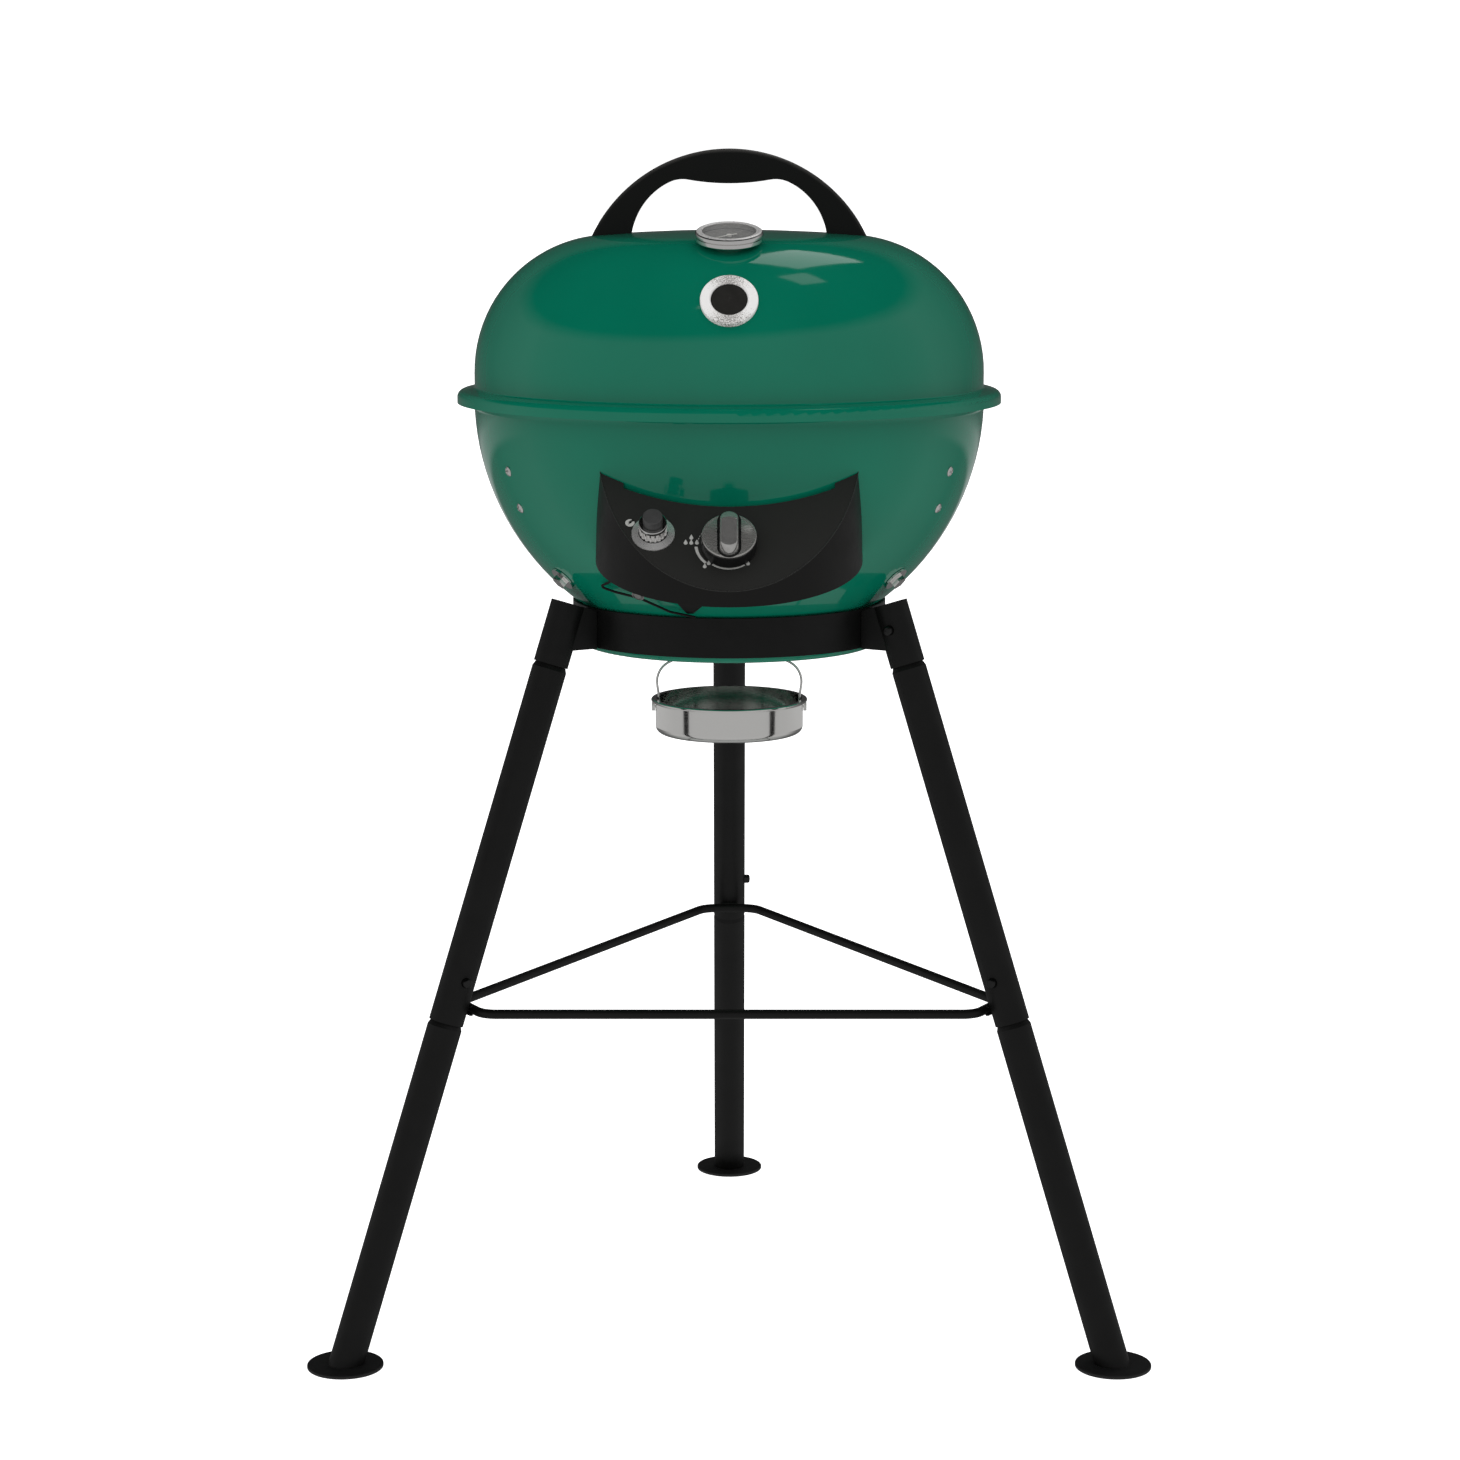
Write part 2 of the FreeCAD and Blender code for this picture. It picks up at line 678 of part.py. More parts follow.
def badge():
    """A plain round badge: a metal ring round a dark disc."""
    at, turn = lid_frame(d.badge_tilt)
    turn_back = FreeCAD.Rotation(0, 0, -d.badge_tilt.value)
    place = FreeCAD.Vector(0, at[1].value, at[2].value)
    seats = []
    for name in ("badge_ring_seat", "badge_disc_seat"):
        seat = lid_form(name)
        seat.Placement = FreeCAD.Placement(turn_back.multVec(-place), turn_back)
        seats.append(seat)
    ring = turned("badge_ring_blank", [
        (d.badge_disc_radius + 0.15, -4.0),
        (d.badge_radius, -4.0),
        (d.badge_radius, 1.4),
        (d.badge_radius - 1.2, 2.6, 1.4, "left"),
        (d.badge_disc_radius + 1.2, 3.0),
        (d.badge_disc_radius + 0.15, 2.0),
    ])
    node(cut("badge_ring_cut", ring, seats[0]), "badge_ring", at, turn)
    disc = turned("badge_disc_blank", [
        (0, -4.0),
        (d.badge_disc_radius, -4.0),
        (d.badge_disc_radius, 1.3),
        (2.2, 2.0),
        (0, 2.9, None, "left"),
    ])
    node(cut("badge_disc_cut", disc, seats[1]), "badge_disc", at, turn)


# ---------------------------------------------------------------- stand

BUTTON_PLACES = {"middle": d.middle_button_at, "top": d.top_button_at}


def leg_turn(azimuth):
    return (azimuth, -d.leg_tilt.value, 0.0)


def leg_foot(azimuth):
    angle = math.radians(azimuth)
    return (d.foot_circle * math.cos(angle), d.foot_circle * math.sin(angle), 0)


def ring_outline(inner, outer, start, end):
    return [(inner, start), (outer, start), (outer, end), (inner, end)]


def button_side(side, place):
    """Which way round the leg a snap button points: 1 or -1 along the leg frame's Y."""
    return 1 if (side, place) == ("left", "middle") else -1


def button_hole(name, at_length, direction, radius):
    """A radial hole cylinder, from the tube's axis outwards, in the leg frame."""
    return cylinder(name, radius, 30.0, (0, 0, at_length), (0, 0, -90.0 * direction))


def lower_leg(side, azimuth):
    tube, wall = d.tube_radius, d.tube_wall
    start = d.brace_sleeve_start
    shoulder = start - d.shoulder_length
    spigot_end = d.brace_sleeve_end - 2.0
    blank = turned(f"lower_tube_{side}", [
        (tube - wall, -12.0),
        (tube, -12.0),
        (tube, shoulder),
        (d.spigot_radius, start),
        (d.spigot_radius, spigot_end),
        (d.spigot_radius - wall, spigot_end),
        (d.spigot_radius - wall, start),
        (tube - wall, shoulder),
    ])
    tilt = d.leg_tilt.value
    floor = box(f"lower_floor_{side}", 200.0, 200.0, 60.0,
                (-(60.0 - d.foot_thickness.value) * math.sin(math.radians(tilt)), 0,
                 -(60.0 - d.foot_thickness.value) * math.cos(math.radians(tilt))),
                (0, tilt, 0))
    node(cut(f"lower_cut_{side}", blank, floor), f"lower_leg_{side}",
         leg_foot(azimuth), leg_turn(azimuth))


def upper_leg(side, azimuth):
    tube, wall = d.tube_radius, d.tube_wall
    start = d.brace_sleeve_end
    shoulder_end = d.socket_start
    spigot_end = d.socket_end - 6.0
    blank = turned(f"upper_tube_{side}", [
        (tube - wall, start),
        (tube, start),
        (tube, shoulder_end - d.shoulder_length),
        (d.spigot_radius, shoulder_end),
        (d.spigot_radius, spigot_end),
        (d.spigot_radius - wall, spigot_end),
        (d.spigot_radius - wall, shoulder_end),
        (tube - wall, shoulder_end - d.shoulder_length),
    ])
    holes = fuse(f"upper_holes_{side}", *[
        button_hole(f"upper_hole_{side}_{place}", length, button_side(side, place),
                    d.button_radius + HOLE_CLEARANCE)
        for place, length in BUTTON_PLACES.items()])
    node(cut(f"upper_cut_{side}", blank, holes), f"upper_leg_{side}",
         leg_foot(azimuth), leg_turn(azimuth))


def brace_sleeves():
    """The connector on each leg that the brace is welded to, with a spigot for the upper tube."""
    sleeves = []
    for side, azimuth in LEGS.items():
        blank = turned(f"sleeve_blank_{side}", [
            (d.spigot_radius + 0.1, d.brace_sleeve_start),
            (d.tube_radius, d.brace_sleeve_start),
            (d.tube_radius, d.brace_sleeve_end),
            (d.spigot_radius, d.brace_sleeve_end),
            (d.spigot_radius, d.brace_spigot_end),
            (d.spigot_radius - d.tube_wall, d.brace_spigot_end),
            (d.spigot_radius - d.tube_wall, d.brace_sleeve_end - 1.5),
            (d.spigot_radius + 0.1, d.brace_sleeve_end - 1.5),
        ])
        hole = button_hole(f"sleeve_hole_{side}", d.middle_button_at,
                           button_side(side, "middle"), d.button_radius + HOLE_CLEARANCE)
        x, y, z = leg_foot(azimuth)
        sleeves.append(put(cut(f"sleeve_{side}", blank, hole), (x, y, z), leg_turn(azimuth)))
    node(group("sleeve_set", *sleeves), "brace_sleeves")


def leg_socket(side, azimuth):
    """The sleeve that takes a leg's top, with an arm that reaches in to the leg ring."""
    tilt = math.radians(d.leg_tilt.value)
    slope = math.tan(tilt)
    ring_face = d.ring_outer_radius + 0.1
    bottom_z, top_z = d.ring_bottom_z - 0.5, d.ring_bottom_z + 30.4
    axis_x = d.foot_circle - bottom_z * slope
    arm_end = d.foot_circle - (top_z + 7.0) * slope
    arm = extruded(f"socket_arm_{side}", "XZ_Plane", [
        (ring_face, bottom_z),
        (axis_x, bottom_z),
        (arm_end, top_z + (arm_end - ring_face) * slope),
        (ring_face, top_z),
    ], 22.0)
    foot = (d.foot_circle, 0, 0)
    lean = (0, -d.leg_tilt.value, 0)
    at_start = (d.foot_circle - d.socket_start * math.sin(tilt), 0,
                d.socket_start * math.cos(tilt))
    length = d.socket_end - d.socket_start
    sleeve = cylinder(f"socket_sleeve_{side}", d.tube_radius, length, at_start, lean)
    bore = cylinder(f"socket_bore_{side}", d.spigot_radius + 0.1, length + 40.0,
                    (d.foot_circle - (d.socket_start - 20.0) * math.sin(tilt), 0,
                     (d.socket_start - 20.0) * math.cos(tilt)), lean)
    hole = button_hole(f"socket_hole_{side}", d.top_button_at, button_side(side, "top"),
                       d.button_radius + HOLE_CLEARANCE)
    drill = put(group(f"socket_drill_{side}", hole), foot, lean)
    tools = fuse(f"socket_tools_{side}", bore, drill)
    solid = fuse(f"socket_solid_{side}", arm, sleeve)
    node(cut(f"socket_cut_{side}", solid, tools), f"leg_socket_{side}", None, (azimuth, 0, 0))


def foot_pad(side, azimuth):
    """A round pad flat on the floor, with a short plug up into the leg tube."""
    pad = turned(f"pad_disc_{side}", [
        (0, 0),
        (d.foot_radius - 0.8, 0),
        (d.foot_radius, 0.8, 0.8, "left"),
        (d.foot_radius, d.foot_thickness - 1.0),
        (d.foot_radius - 1.0, d.foot_thickness, 1.0, "left"),
        (0, d.foot_thickness),
    ])
    plug = cylinder(f"pad_plug_{side}", d.tube_radius - d.tube_wall - 0.3, 26.0,
                    (0, 0, 0), (0, -d.leg_tilt.value, 0))
    floor = box(f"pad_floor_{side}", 100.0, 100.0, 20.0, (0, 0, -19.0))
    x, y, z = leg_foot(azimuth)
    node(fuse(f"pad_fuse_{side}", pad, cut(f"pad_plug_cut_{side}", plug, floor)),
         f"foot_pad_{side}", (x, y, z), (azimuth, 0, 0))


def rounded_path(corners, bend, closed):
    """Straight runs joined by tangent arcs of one bend radius."""
    count = len(corners)
    bent = range(count) if closed else range(1, count - 1)
    entries, exits = list(corners), list(corners)
    arcs = {}
    for index in bent:
        here = corners[index]
        to_last = (corners[index - 1] - here).normalize()
        to_next = (corners[(index + 1) % count] - here).normalize()
        half_turn = (math.pi - to_last.getAngle(to_next)) / 2.0
        setback = bend * math.tan(half_turn)
        entries[index] = here + to_last * setback
        exits[index] = here + to_next * setback
        inward = ((entries[index] + exits[index]) * 0.5 - here).normalize()
        middle = here + inward * (math.hypot(setback, bend) - bend)
        arcs[index] = Part.Arc(entries[index], middle, exits[index]).toShape()
    pieces = []
    for index in range(count if closed else count - 1):
        after = (index + 1) % count
        pieces.append(Part.LineSegment(exits[index], entries[after]).toShape())
        if after in arcs:
            pieces.append(arcs[after])
    return Part.Wire(pieces)


def bent_bar(name, path, radius):
    """A round bar swept along a path."""
    first = path.Edges[0]
    along = first.tangentAt(first.FirstParameter)
    section = Part.Wire([Part.makeCircle(radius, first.valueAt(first.FirstParameter), along)])
    bar = doc.addObject("Part::Feature", name)
    bar.Shape = path.makePipeShell([section], True, False)
    return bar


def leg_brace():
    """A round bar bent to a triangle with cut corners, one corner at each leg."""
    side, corner = d.brace_side_distance.value, d.brace_corner_distance.value
    half_width = (side * 2.0 - corner) / math.sqrt(3)
    corners = []
    for azimuth in (RIGHT, REAR, LEFT):
        angle = math.radians(azimuth)
        out = FreeCAD.Vector(math.cos(angle), math.sin(angle), 0)
        along = FreeCAD.Vector(-math.sin(angle), math.cos(angle), 0)
        corners += [out * corner - along * half_width, out * corner + along * half_width]
    path = rounded_path(corners, d.brace_bend_radius.value, True)
    node(bent_bar("brace_bar", path, d.brace_rod_radius.value), "leg_brace", (0, 0, d.brace_z))


def leg_ring():
    node(turned("ring_band", ring_outline(d.ring_inner_radius, d.ring_outer_radius,
                                          d.ring_bottom_z, d.ring_top_z)), "leg_ring")


BUTTON_FLANGE_RADIUS = 5.2


def snap_button(side, azimuth, place):
    """A spring button: its flange stays inside the tube, its domed pin stands out of it."""
    tip = d.tube_radius + d.button_proud
    pin = d.button_radius
    body = turned(f"button_{side}_{place}", [
        (0, 8.2),
        (BUTTON_FLANGE_RADIUS, 8.2),
        (BUTTON_FLANGE_RADIUS, 9.6),
        (pin, 9.6),
        (pin, tip - 1.6),
        (pin - 1.6, tip, 1.8, "left"),
        (0, tip + 0.3),
    ])
    length = BUTTON_PLACES[place]
    direction = button_side(side, place)
    tilt = math.radians(d.leg_tilt.value)
    angle = math.radians(azimuth)
    reach = d.foot_circle - length * math.sin(tilt)
    at = (reach * math.cos(angle), reach * math.sin(angle), length * math.cos(tilt))
    lean = FreeCAD.Rotation(azimuth, -d.leg_tilt.value, 0)
    spin = lean.multiply(FreeCAD.Rotation(0, 0, -90.0 * direction))
    node(body, f"snap_button_{side}_{place}", at, spin.getYawPitchRoll())


def button_springs():
    """A bent leaf behind each snap button, lying in the tube."""
    leaves = []
    for side, azimuth in LEGS.items():
        for place, length in BUTTON_PLACES.items():
            direction = button_side(side, place)
            leaf = extruded(f"leaf_{side}_{place}", "YZ_Plane", [
                (-9.4, -34.0),
                (-3.0, -40.0, 6.4, "left"),
                (3.4, -34.0, 6.4, "left"),
                (7.0, -8.0),
                (6.2, -8.0),
                (2.6, -34.0),
                (-3.0, -39.2, 5.6, "right"),
                (-8.6, -34.0, 5.6, "right"),
                (-8.6, 6.0),
                (-9.4, 6.0),
            ], 6.0)
            x, y, z = leg_foot(azimuth)
            tilt = math.radians(d.leg_tilt.value)
            angle = math.radians(azimuth)
            reach = d.foot_circle - length * math.sin(tilt)
            at = (reach * math.cos(angle), reach * math.sin(angle), length * math.cos(tilt))
            spin = FreeCAD.Rotation(azimuth, -d.leg_tilt.value, 0)
            if direction < 0:
                spin = spin.multiply(FreeCAD.Rotation(180, 0, 0))
            leaves.append(put(leaf, at, spin.getYawPitchRoll()))
    node(group("leaf_set", *leaves), "button_springs")


# ---------------------------------------------------------------- fasteners on the bowl

def bowl_screws():
    screws = []
    for side, azimuth in LEGS.items():
        for number, height in enumerate(BRACKET_SCREW_HEIGHTS):
            screw = turned(f"bracket_screw_{side}_{number}", [
                (0, -7.0),
                (BRACKET_SCREW_RADIUS, -7.0),
                (BRACKET_SCREW_RADIUS, 0.05),
                (4.1, 0.05),
                (4.1, 0.7),
                (0, 2.5, None, "left"),
            ])
            screws.append(put(screw, *on_bowl(azimuth, height)))
    node(group("screw_set", *screws), "bowl_screws")


def bowl_bolts():
    """A hexagon bolt over a wide washer at each leg, with its nut inside the bowl."""
    pieces = []
    for side, azimuth in LEGS.items():
        washer_blank = cylinder(f"washer_blank_{side}", 11.0, 1.5, (0, 0, 0.1))
        washer_bore = cylinder(f"washer_bore_{side}", BOLT_SHANK_RADIUS + 0.2, 4.0, (0, 0, -1.0))
        washer = cut(f"washer_{side}", washer_blank, washer_bore)
        head = hexagon(f"bolt_head_{side}", 11.0, 4.6, (0, 0, 1.65))
        shank = cylinder(f"bolt_shank_{side}", BOLT_SHANK_RADIUS, 12.0, (0, 0, -10.0))
        bolt = fuse(f"bolt_{side}", head, shank)
        nut_blank = hexagon(f"bolt_nut_blank_{side}", 11.0, 4.5, (0, 0, -6.6))
        nut_bore = cylinder(f"bolt_nut_bore_{side}", BOLT_SHANK_RADIUS + 0.05, 8.0, (0, 0, -9.0))
        nut = cut(f"bolt_nut_{side}", nut_blank, nut_bore)
        stack = group(f"bolt_stack_{side}", washer, bolt, nut)
        pieces.append(put(stack, *on_bowl(azimuth, BOLT_HEIGHT)))
    node(group("bolt_set", *pieces), "bowl_bolts")


def funnel_brackets():
    """Bent strips inside the bowl: the upper step holds the grid, the lower one the funnel."""
    strip = 2.0
    outside = d.bowl_radius - d.shell_wall - 0.6
    inside = outside - strip
    grid_step = d.grid_z - d.grid_rod_radius - 0.3
    funnel_step = d.funnel_rim_z - 1.5
    foot_z = Size(684.0)

    def reach(radius, height):
        drop = d.bowl_centre_z - height
        return root(radius * radius - drop * drop)

    brackets = []
    for side, azimuth in LEGS.items():
        strip_body = extruded(f"bracket_{side}", "XZ_Plane", [
            (reach(outside, foot_z), foot_z),
            (reach(outside, grid_step), grid_step, outside, "left"),
            (192.0, grid_step),
            (192.0, grid_step - strip),
            (reach(inside, grid_step - strip), grid_step - strip),
            (reach(inside, funnel_step), funnel_step, inside, "right"),
            (178.0, funnel_step),
            (178.0, funnel_step - strip),
            (reach(inside, funnel_step - strip), funnel_step - strip),
            (reach(inside, foot_z), foot_z, inside, "right"),
        ], d.bracket_half_width * 2)
        brackets.append(put(strip_body, (0, 0, 0), (azimuth, 0, 0)))
    strips = fuse("bracket_strips", *brackets)
    drills = []
    for side, azimuth in LEGS.items():
        for number, height in enumerate(BRACKET_SCREW_HEIGHTS):
            at, turn = on_bowl(azimuth, height, -12.0)
            drills.append(cylinder(f"bracket_drill_{side}_{number}",
                                   BRACKET_SCREW_RADIUS + HOLE_CLEARANCE, 14.0, at, turn))
    node(cut("bracket_cut", strips, fuse("bracket_drills", *drills)), "funnel_brackets")


# ---------------------------------------------------------------- control panel and gas

FACE_TURN = (0, 0, d.panel_tilt)
KNOB_AT = (0, d.knob_y, d.knob_z)
IGNITER_AT = (d.igniter_x, d.igniter_y, d.igniter_z)
STEM_HOLE_RADIUS = 5.5
IGNITER_HOLE_RADIUS = 9.5
TAB_INNER_X = 82.0
RIB_X = 86.0


def along_face_normal(at, lift):
    """A place moved out of the panel's face by lift."""
    x, y, z = at
    lift = as_size(lift)
    return (x, y - lift * sine(d.panel_tilt), z + lift * cosine(d.panel_tilt))


def panel_cone(name, inset):
    cone = doc.addObject("Part::Cone", name)
    bind(cone, Radius1=d.panel_bottom_radius - inset, Radius2=d.panel_top_radius - inset,
         Height=120.0)
    return put(cone, (0, d.panel_cone_y, 620.0))


def control_housing():
    """A moulded shell, open below and behind, that leans its flat face back at the panel tilt."""
    above_face = box("above_face", 400.0, 400.0, 150.0, KNOB_AT, FACE_TURN)
    foot_turn = (0, 0, d.panel_foot_slope)
    depth = 150.0
    below_foot = box("below_foot", 400.0, 400.0, depth,
                     (0, d.panel_front_y + depth * sine(d.panel_foot_slope),
                      d.panel_foot_z - depth * cosine(d.panel_foot_slope)), foot_turn)
    bowl_space = sphere("panel_bowl_space", d.bowl_radius + 0.4, (0, 0, d.bowl_centre_z))
    gap_ball = sphere("panel_gap_ball", d.bowl_radius + 4.5, (0, 0, d.bowl_centre_z))
    gap_box = box("panel_gap_box", TAB_INNER_X * 2.0, 400.0, 60.0, (0, -200.0, 692.0))
    stem_hole = cylinder("panel_stem_hole", STEM_HOLE_RADIUS, 20.0,
                         along_face_normal(KNOB_AT, -10.0), FACE_TURN)
    igniter_hole = cylinder("panel_igniter_hole", IGNITER_HOLE_RADIUS, 20.0,
                            along_face_normal(IGNITER_AT, -10.0), FACE_TURN)
    trims = fuse("panel_trims", above_face, below_foot, bowl_space,
                 common("panel_gap", gap_ball, gap_box), stem_hole, igniter_hole)
    block = cut("panel_block", panel_cone("panel_outside", 0), trims)

    above_inner = box("above_inner_face", 400.0, 400.0, 150.0,
                      along_face_normal(KNOB_AT, -d.panel_wall), FACE_TURN)
    stays = [above_inner]
    for number, azimuth in enumerate(PANEL_SCREW_AZIMUTHS):
        at, turn = on_bowl(azimuth, PANEL_SCREW_HEIGHT)
        side = 1 if number else -1
        stays.append(cylinder(f"panel_boss_{number}", 5.0, 16.0, at, turn))
        stays.append(box(f"panel_rib_{number}", 3.0, 200.0, 200.0, (side * RIB_X, -180.0, 600.0)))
    hollow = cut("panel_hollow", panel_cone("panel_inside", d.panel_wall),
                 fuse("panel_stays", *stays))
    shell = cut("panel_shell", block, hollow)
    pilots = [cylinder(f"panel_pilot_{number}", BRACKET_SCREW_RADIUS, 12.0,
                       *on_bowl(azimuth, PANEL_SCREW_HEIGHT))
              for number, azimuth in enumerate(PANEL_SCREW_AZIMUTHS)]
    node(cut("panel_cut", shell, fuse("panel_pilots", *pilots)), "control_housing")


def housing_screws():
    """Screws from inside the bowl into the housing's bosses."""
    screws = []
    for number, azimuth in enumerate(PANEL_SCREW_AZIMUTHS):
        screw = turned(f"housing_screw_{number}", [
            (0, -4.2),
            (4.0, -4.2),
            (4.0, -1.9),
            (BRACKET_SCREW_RADIUS - 0.05, -1.9),
            (BRACKET_SCREW_RADIUS - 0.05, 10.0),
            (0, 10.0),
        ])
        screws.append(put(screw, *on_bowl(azimuth, PANEL_SCREW_HEIGHT)))
    node(group("housing_screw_pair", *screws), "housing_screws")


VALVE_Y = -214.0
INLET_RADIUS = 6.58
INLET_LENGTH = 11.0
INLET_END_Z = 629.5


def gas_valve():
    """A brass tap behind the face, with its threaded inlet down and its outlet to the bowl."""
    body = cylinder("valve_body", 12.0, 30.0,
                    along_face_normal(KNOB_AT, -(d.panel_wall + 0.3) - 30.0), FACE_TURN)
    outlet = cylinder("valve_outlet", 6.0, 17.0, (0, VALVE_Y, d.burner_z), (0, 0, -90))
    thread = cylinder("valve_inlet", INLET_RADIUS, INLET_LENGTH + 1.0, (0, VALVE_Y, INLET_END_Z))
    hexagonal = hexagon("valve_hexagon", 17.0, 14.0, (0, VALVE_Y, INLET_END_Z + INLET_LENGTH))
    solid = fuse("valve_solid", body, outlet, thread, hexagonal)
    stem_bore = cylinder("valve_stem_bore", 3.35, 20.0, along_face_normal(KNOB_AT, -12.0),
                         FACE_TURN)
    node(cut("valve_cut", solid, stem_bore), "gas_valve")


def injector_nozzle():
    flats = hexagon("nozzle_flats", 10.0, 7.0, (0, VALVE_Y + 17.1, d.burner_z), (0, 0, -90))
    tip = cylinder("nozzle_tip", 3.0, 9.0, (0, VALVE_Y + 24.0, d.burner_z), (0, 0, -90))
    bore = cylinder("nozzle_bore", 0.5, 30.0, (0, VALVE_Y + 10.0, d.burner_z), (0, 0, -90))
    node(cut("nozzle_cut", fuse("nozzle_solid", flats, tip), bore), "injector_nozzle")


def gas_knob():
    """The black knob, its bright cap with the grip, and the tap's stem. Z is out of the face."""
    skirt = turned("knob_skirt", [
        (3.15, 1.0),
        (d.knob_radius - 0.6, 1.0),
        (d.knob_radius, 1.6, 0.6, "left"),
        (d.knob_radius, d.knob_height - 0.6),
        (d.knob_radius - 0.6, d.knob_height, 0.6, "left"),
        (0, d.knob_height),
        (0, 10.2),
        (3.15, 10.2),
    ])
    node(skirt, "gas_knob", KNOB_AT, FACE_TURN)

    disc_radius, cap_height = d.knob_radius - 0.3, 2.0
    disc = turned("cap_disc", [
        (0, d.knob_height + 0.05),
        (disc_radius, d.knob_height + 0.05),
        (disc_radius, d.knob_height + 1.2),
        (disc_radius - 0.9, d.knob_height + cap_height, 0.9, "left"),
        (0, d.knob_height + cap_height),
    ])
    half_width, lower, upper, grip_height = 7.3, -12.2, 12.6, 9.0
    grip = extruded("cap_grip", "XY_Plane", [
        (-half_width, lower),
        (0, lower - half_width, half_width, "left"),
        (half_width, lower, half_width, "left"),
        (half_width, upper),
        (0, upper + half_width, half_width, "left"),
        (-half_width, upper, half_width, "left"),
    ], grip_height, both_ways=False)
    put(grip, (0, 0, d.knob_height + cap_height - 0.2))
    node(fuse("cap_solid", disc, grip), "knob_cap", KNOB_AT, FACE_TURN)

    stem = cylinder("stem_rod", 3.0, 18.0)
    node(stem, "valve_stem", along_face_normal(KNOB_AT, -8.0), FACE_TURN)


def igniter():
    """A push igniter: the barrel behind the face, the knurled bezel on it and the button."""
    barrel = turned("igniter_barrel", [
        (0, -38.0),
        (9.4, -38.0),
        (9.4, -6.0),
        (11.0, -6.0),
        (11.0, -2.8),
        (8.9, -2.8),
        (8.9, 12.5),
        (7.95, 12.5),
        (7.95, -12.0),
        (0, -12.0),
    ])
    node(barrel, "igniter_barrel", IGNITER_AT, FACE_TURN)

    knurl_radius, knurl_top = 10.9, 11.0
    bezel = turned("bezel_turning", [
        (9.1, 0.05),
        (d.igniter_plate_radius, 0.05),
        (d.igniter_plate_radius, 0.9),
        (9.7, 3.5),
        (9.7, knurl_top),
        (knurl_radius, knurl_top),
        (knurl_radius, 13.2),
        (knurl_radius - 0.8, 14.0, 0.8, "left"),
        (8.05, 14.0),
        (8.05, 12.8),
        (9.1, 12.8),
    ])
    rib = new_sketch(bezel, "XY_Plane", "bezel_rib_outline")
    draw(rib, [(9.4, -0.8), (knurl_radius, -0.5), (knurl_radius, 0.5), (9.4, 0.8)])
    pad = bezel.newObject("PartDesign::Pad", "bezel_rib")
    pad.Profile = rib
    pad.Length = knurl_top + 0.5
    doc.recompute()
    ring_of(bezel, pad, "bezel_knurl", 18)
    node(bezel, "igniter_bezel", IGNITER_AT, FACE_TURN)

    button = turned("button_turning", [
        (0, -4.0),
        (d.igniter_button_radius, -4.0),
        (d.igniter_button_radius, 21.0),
        (d.igniter_button_radius - 0.9, 21.9, 0.9, "left"),
        (0, 22.2),
    ])
    node(button, "ignition_button", IGNITER_AT, FACE_TURN)


def hose_guide():
    """A wire clip for the gas hose under the panel, its screw, and the wedge plate beside it."""
    corners = [FreeCAD.Vector(*corner) for corner in (
        (-80.0, -157.0, 648.0),
        (-88.0, -141.5, 641.0),
        (-103.5, -122.5, 632.0),
        (-91.0, -126.0, 628.0),
        (-71.5, -135.5, 624.4),
        (-47.0, -133.5, 613.0),
        (-27.0, -132.5, 608.6),
    )]
    path = rounded_path(corners, 2.2, False)
    node(bent_bar("guide_wire", path, 1.0), "hose_guide_wire")

    at, turn = on_bowl(GUIDE_SCREW_AZIMUTH, GUIDE_SCREW_HEIGHT)
    screw = turned("guide_screw_turning", [
        (0, -6.0),
        (BRACKET_SCREW_RADIUS, -6.0),
        (BRACKET_SCREW_RADIUS, 5.2),
        (5.3, 5.2),
        (5.3, 6.4),
        (3.6, 6.4),
        (3.6, 7.4),
        (0, 8.8, None, "left"),
    ])
    node(screw, "hose_guide_screw", at, turn)

    at, turn = on_bowl(-104.0, 621.5, 0.3)
    wedge = extruded("wedge_plate", "XY_Plane", [
        (-24.0, -15.0),
        (13.0, -1.0),
        (13.0, 4.0),
        (1.0, 15.0),
        (-24.0, 15.0),
    ], 1.5, both_ways=False)
    node(wedge, "hose_bracket", at, turn)


# ---------------------------------------------------------------- burner, funnel and grid

def ring_burner():
    """A hollow ring with flame ports on top and an opening for the venturi in front."""
    circle, half, skin = d.burner_circle, d.burner_half_width, 1.2
    corner = 3.0
    body = turned("burner_ring", [
        (circle - half, -half + corner),
        (circle - half + corner, -half, corner, "left"),
        (circle + half - corner, -half),
        (circle + half, -half + corner, corner, "left"),
        (circle + half, half - corner),
        (circle + half - corner, half, corner, "left"),
        (circle - half + corner, half),
        (circle - half, half - corner, corner, "left"),
    ])
    port = new_sketch(body, "XY_Plane", "port_outline")
    port.addGeometry(Part.Circle(FreeCAD.Vector(circle.value, 0, 0), FreeCAD.Vector(0, 0, 1), 1.2))
    port.addConstraint([
        Sketcher.Constraint("Radius", 0, 1.2),
        Sketcher.Constraint("PointOnObject", 0, 3, -1),
        Sketcher.Constraint("DistanceX", -1, 1, 0, 3, circle.value),
    ])
    port.setExpression("Constraints[2]", circle.text)
    doc.recompute()
    pocket = body.newObject("PartDesign::Pocket", "burner_port")
    pocket.Profile = port
    pocket.Type = "ThroughAll"
    pocket.Reversed = True
    doc.recompute()
    ring_of(body, pocket, "burner_ports", 24)
    inner = half - skin
    cavity = turned("burner_cavity", ring_outline(circle - inner, circle + inner, -inner, inner))
    mouth = cylinder("burner_mouth", d.venturi_radius - 3.0, 10.0,
                     (0, -circle - half - 2.0, 0), (0, 0, -90))
    node(cut("burner_cut", body, fuse("burner_tools", cavity, mouth)), "ring_burner",
         (0, 0, d.burner_z))


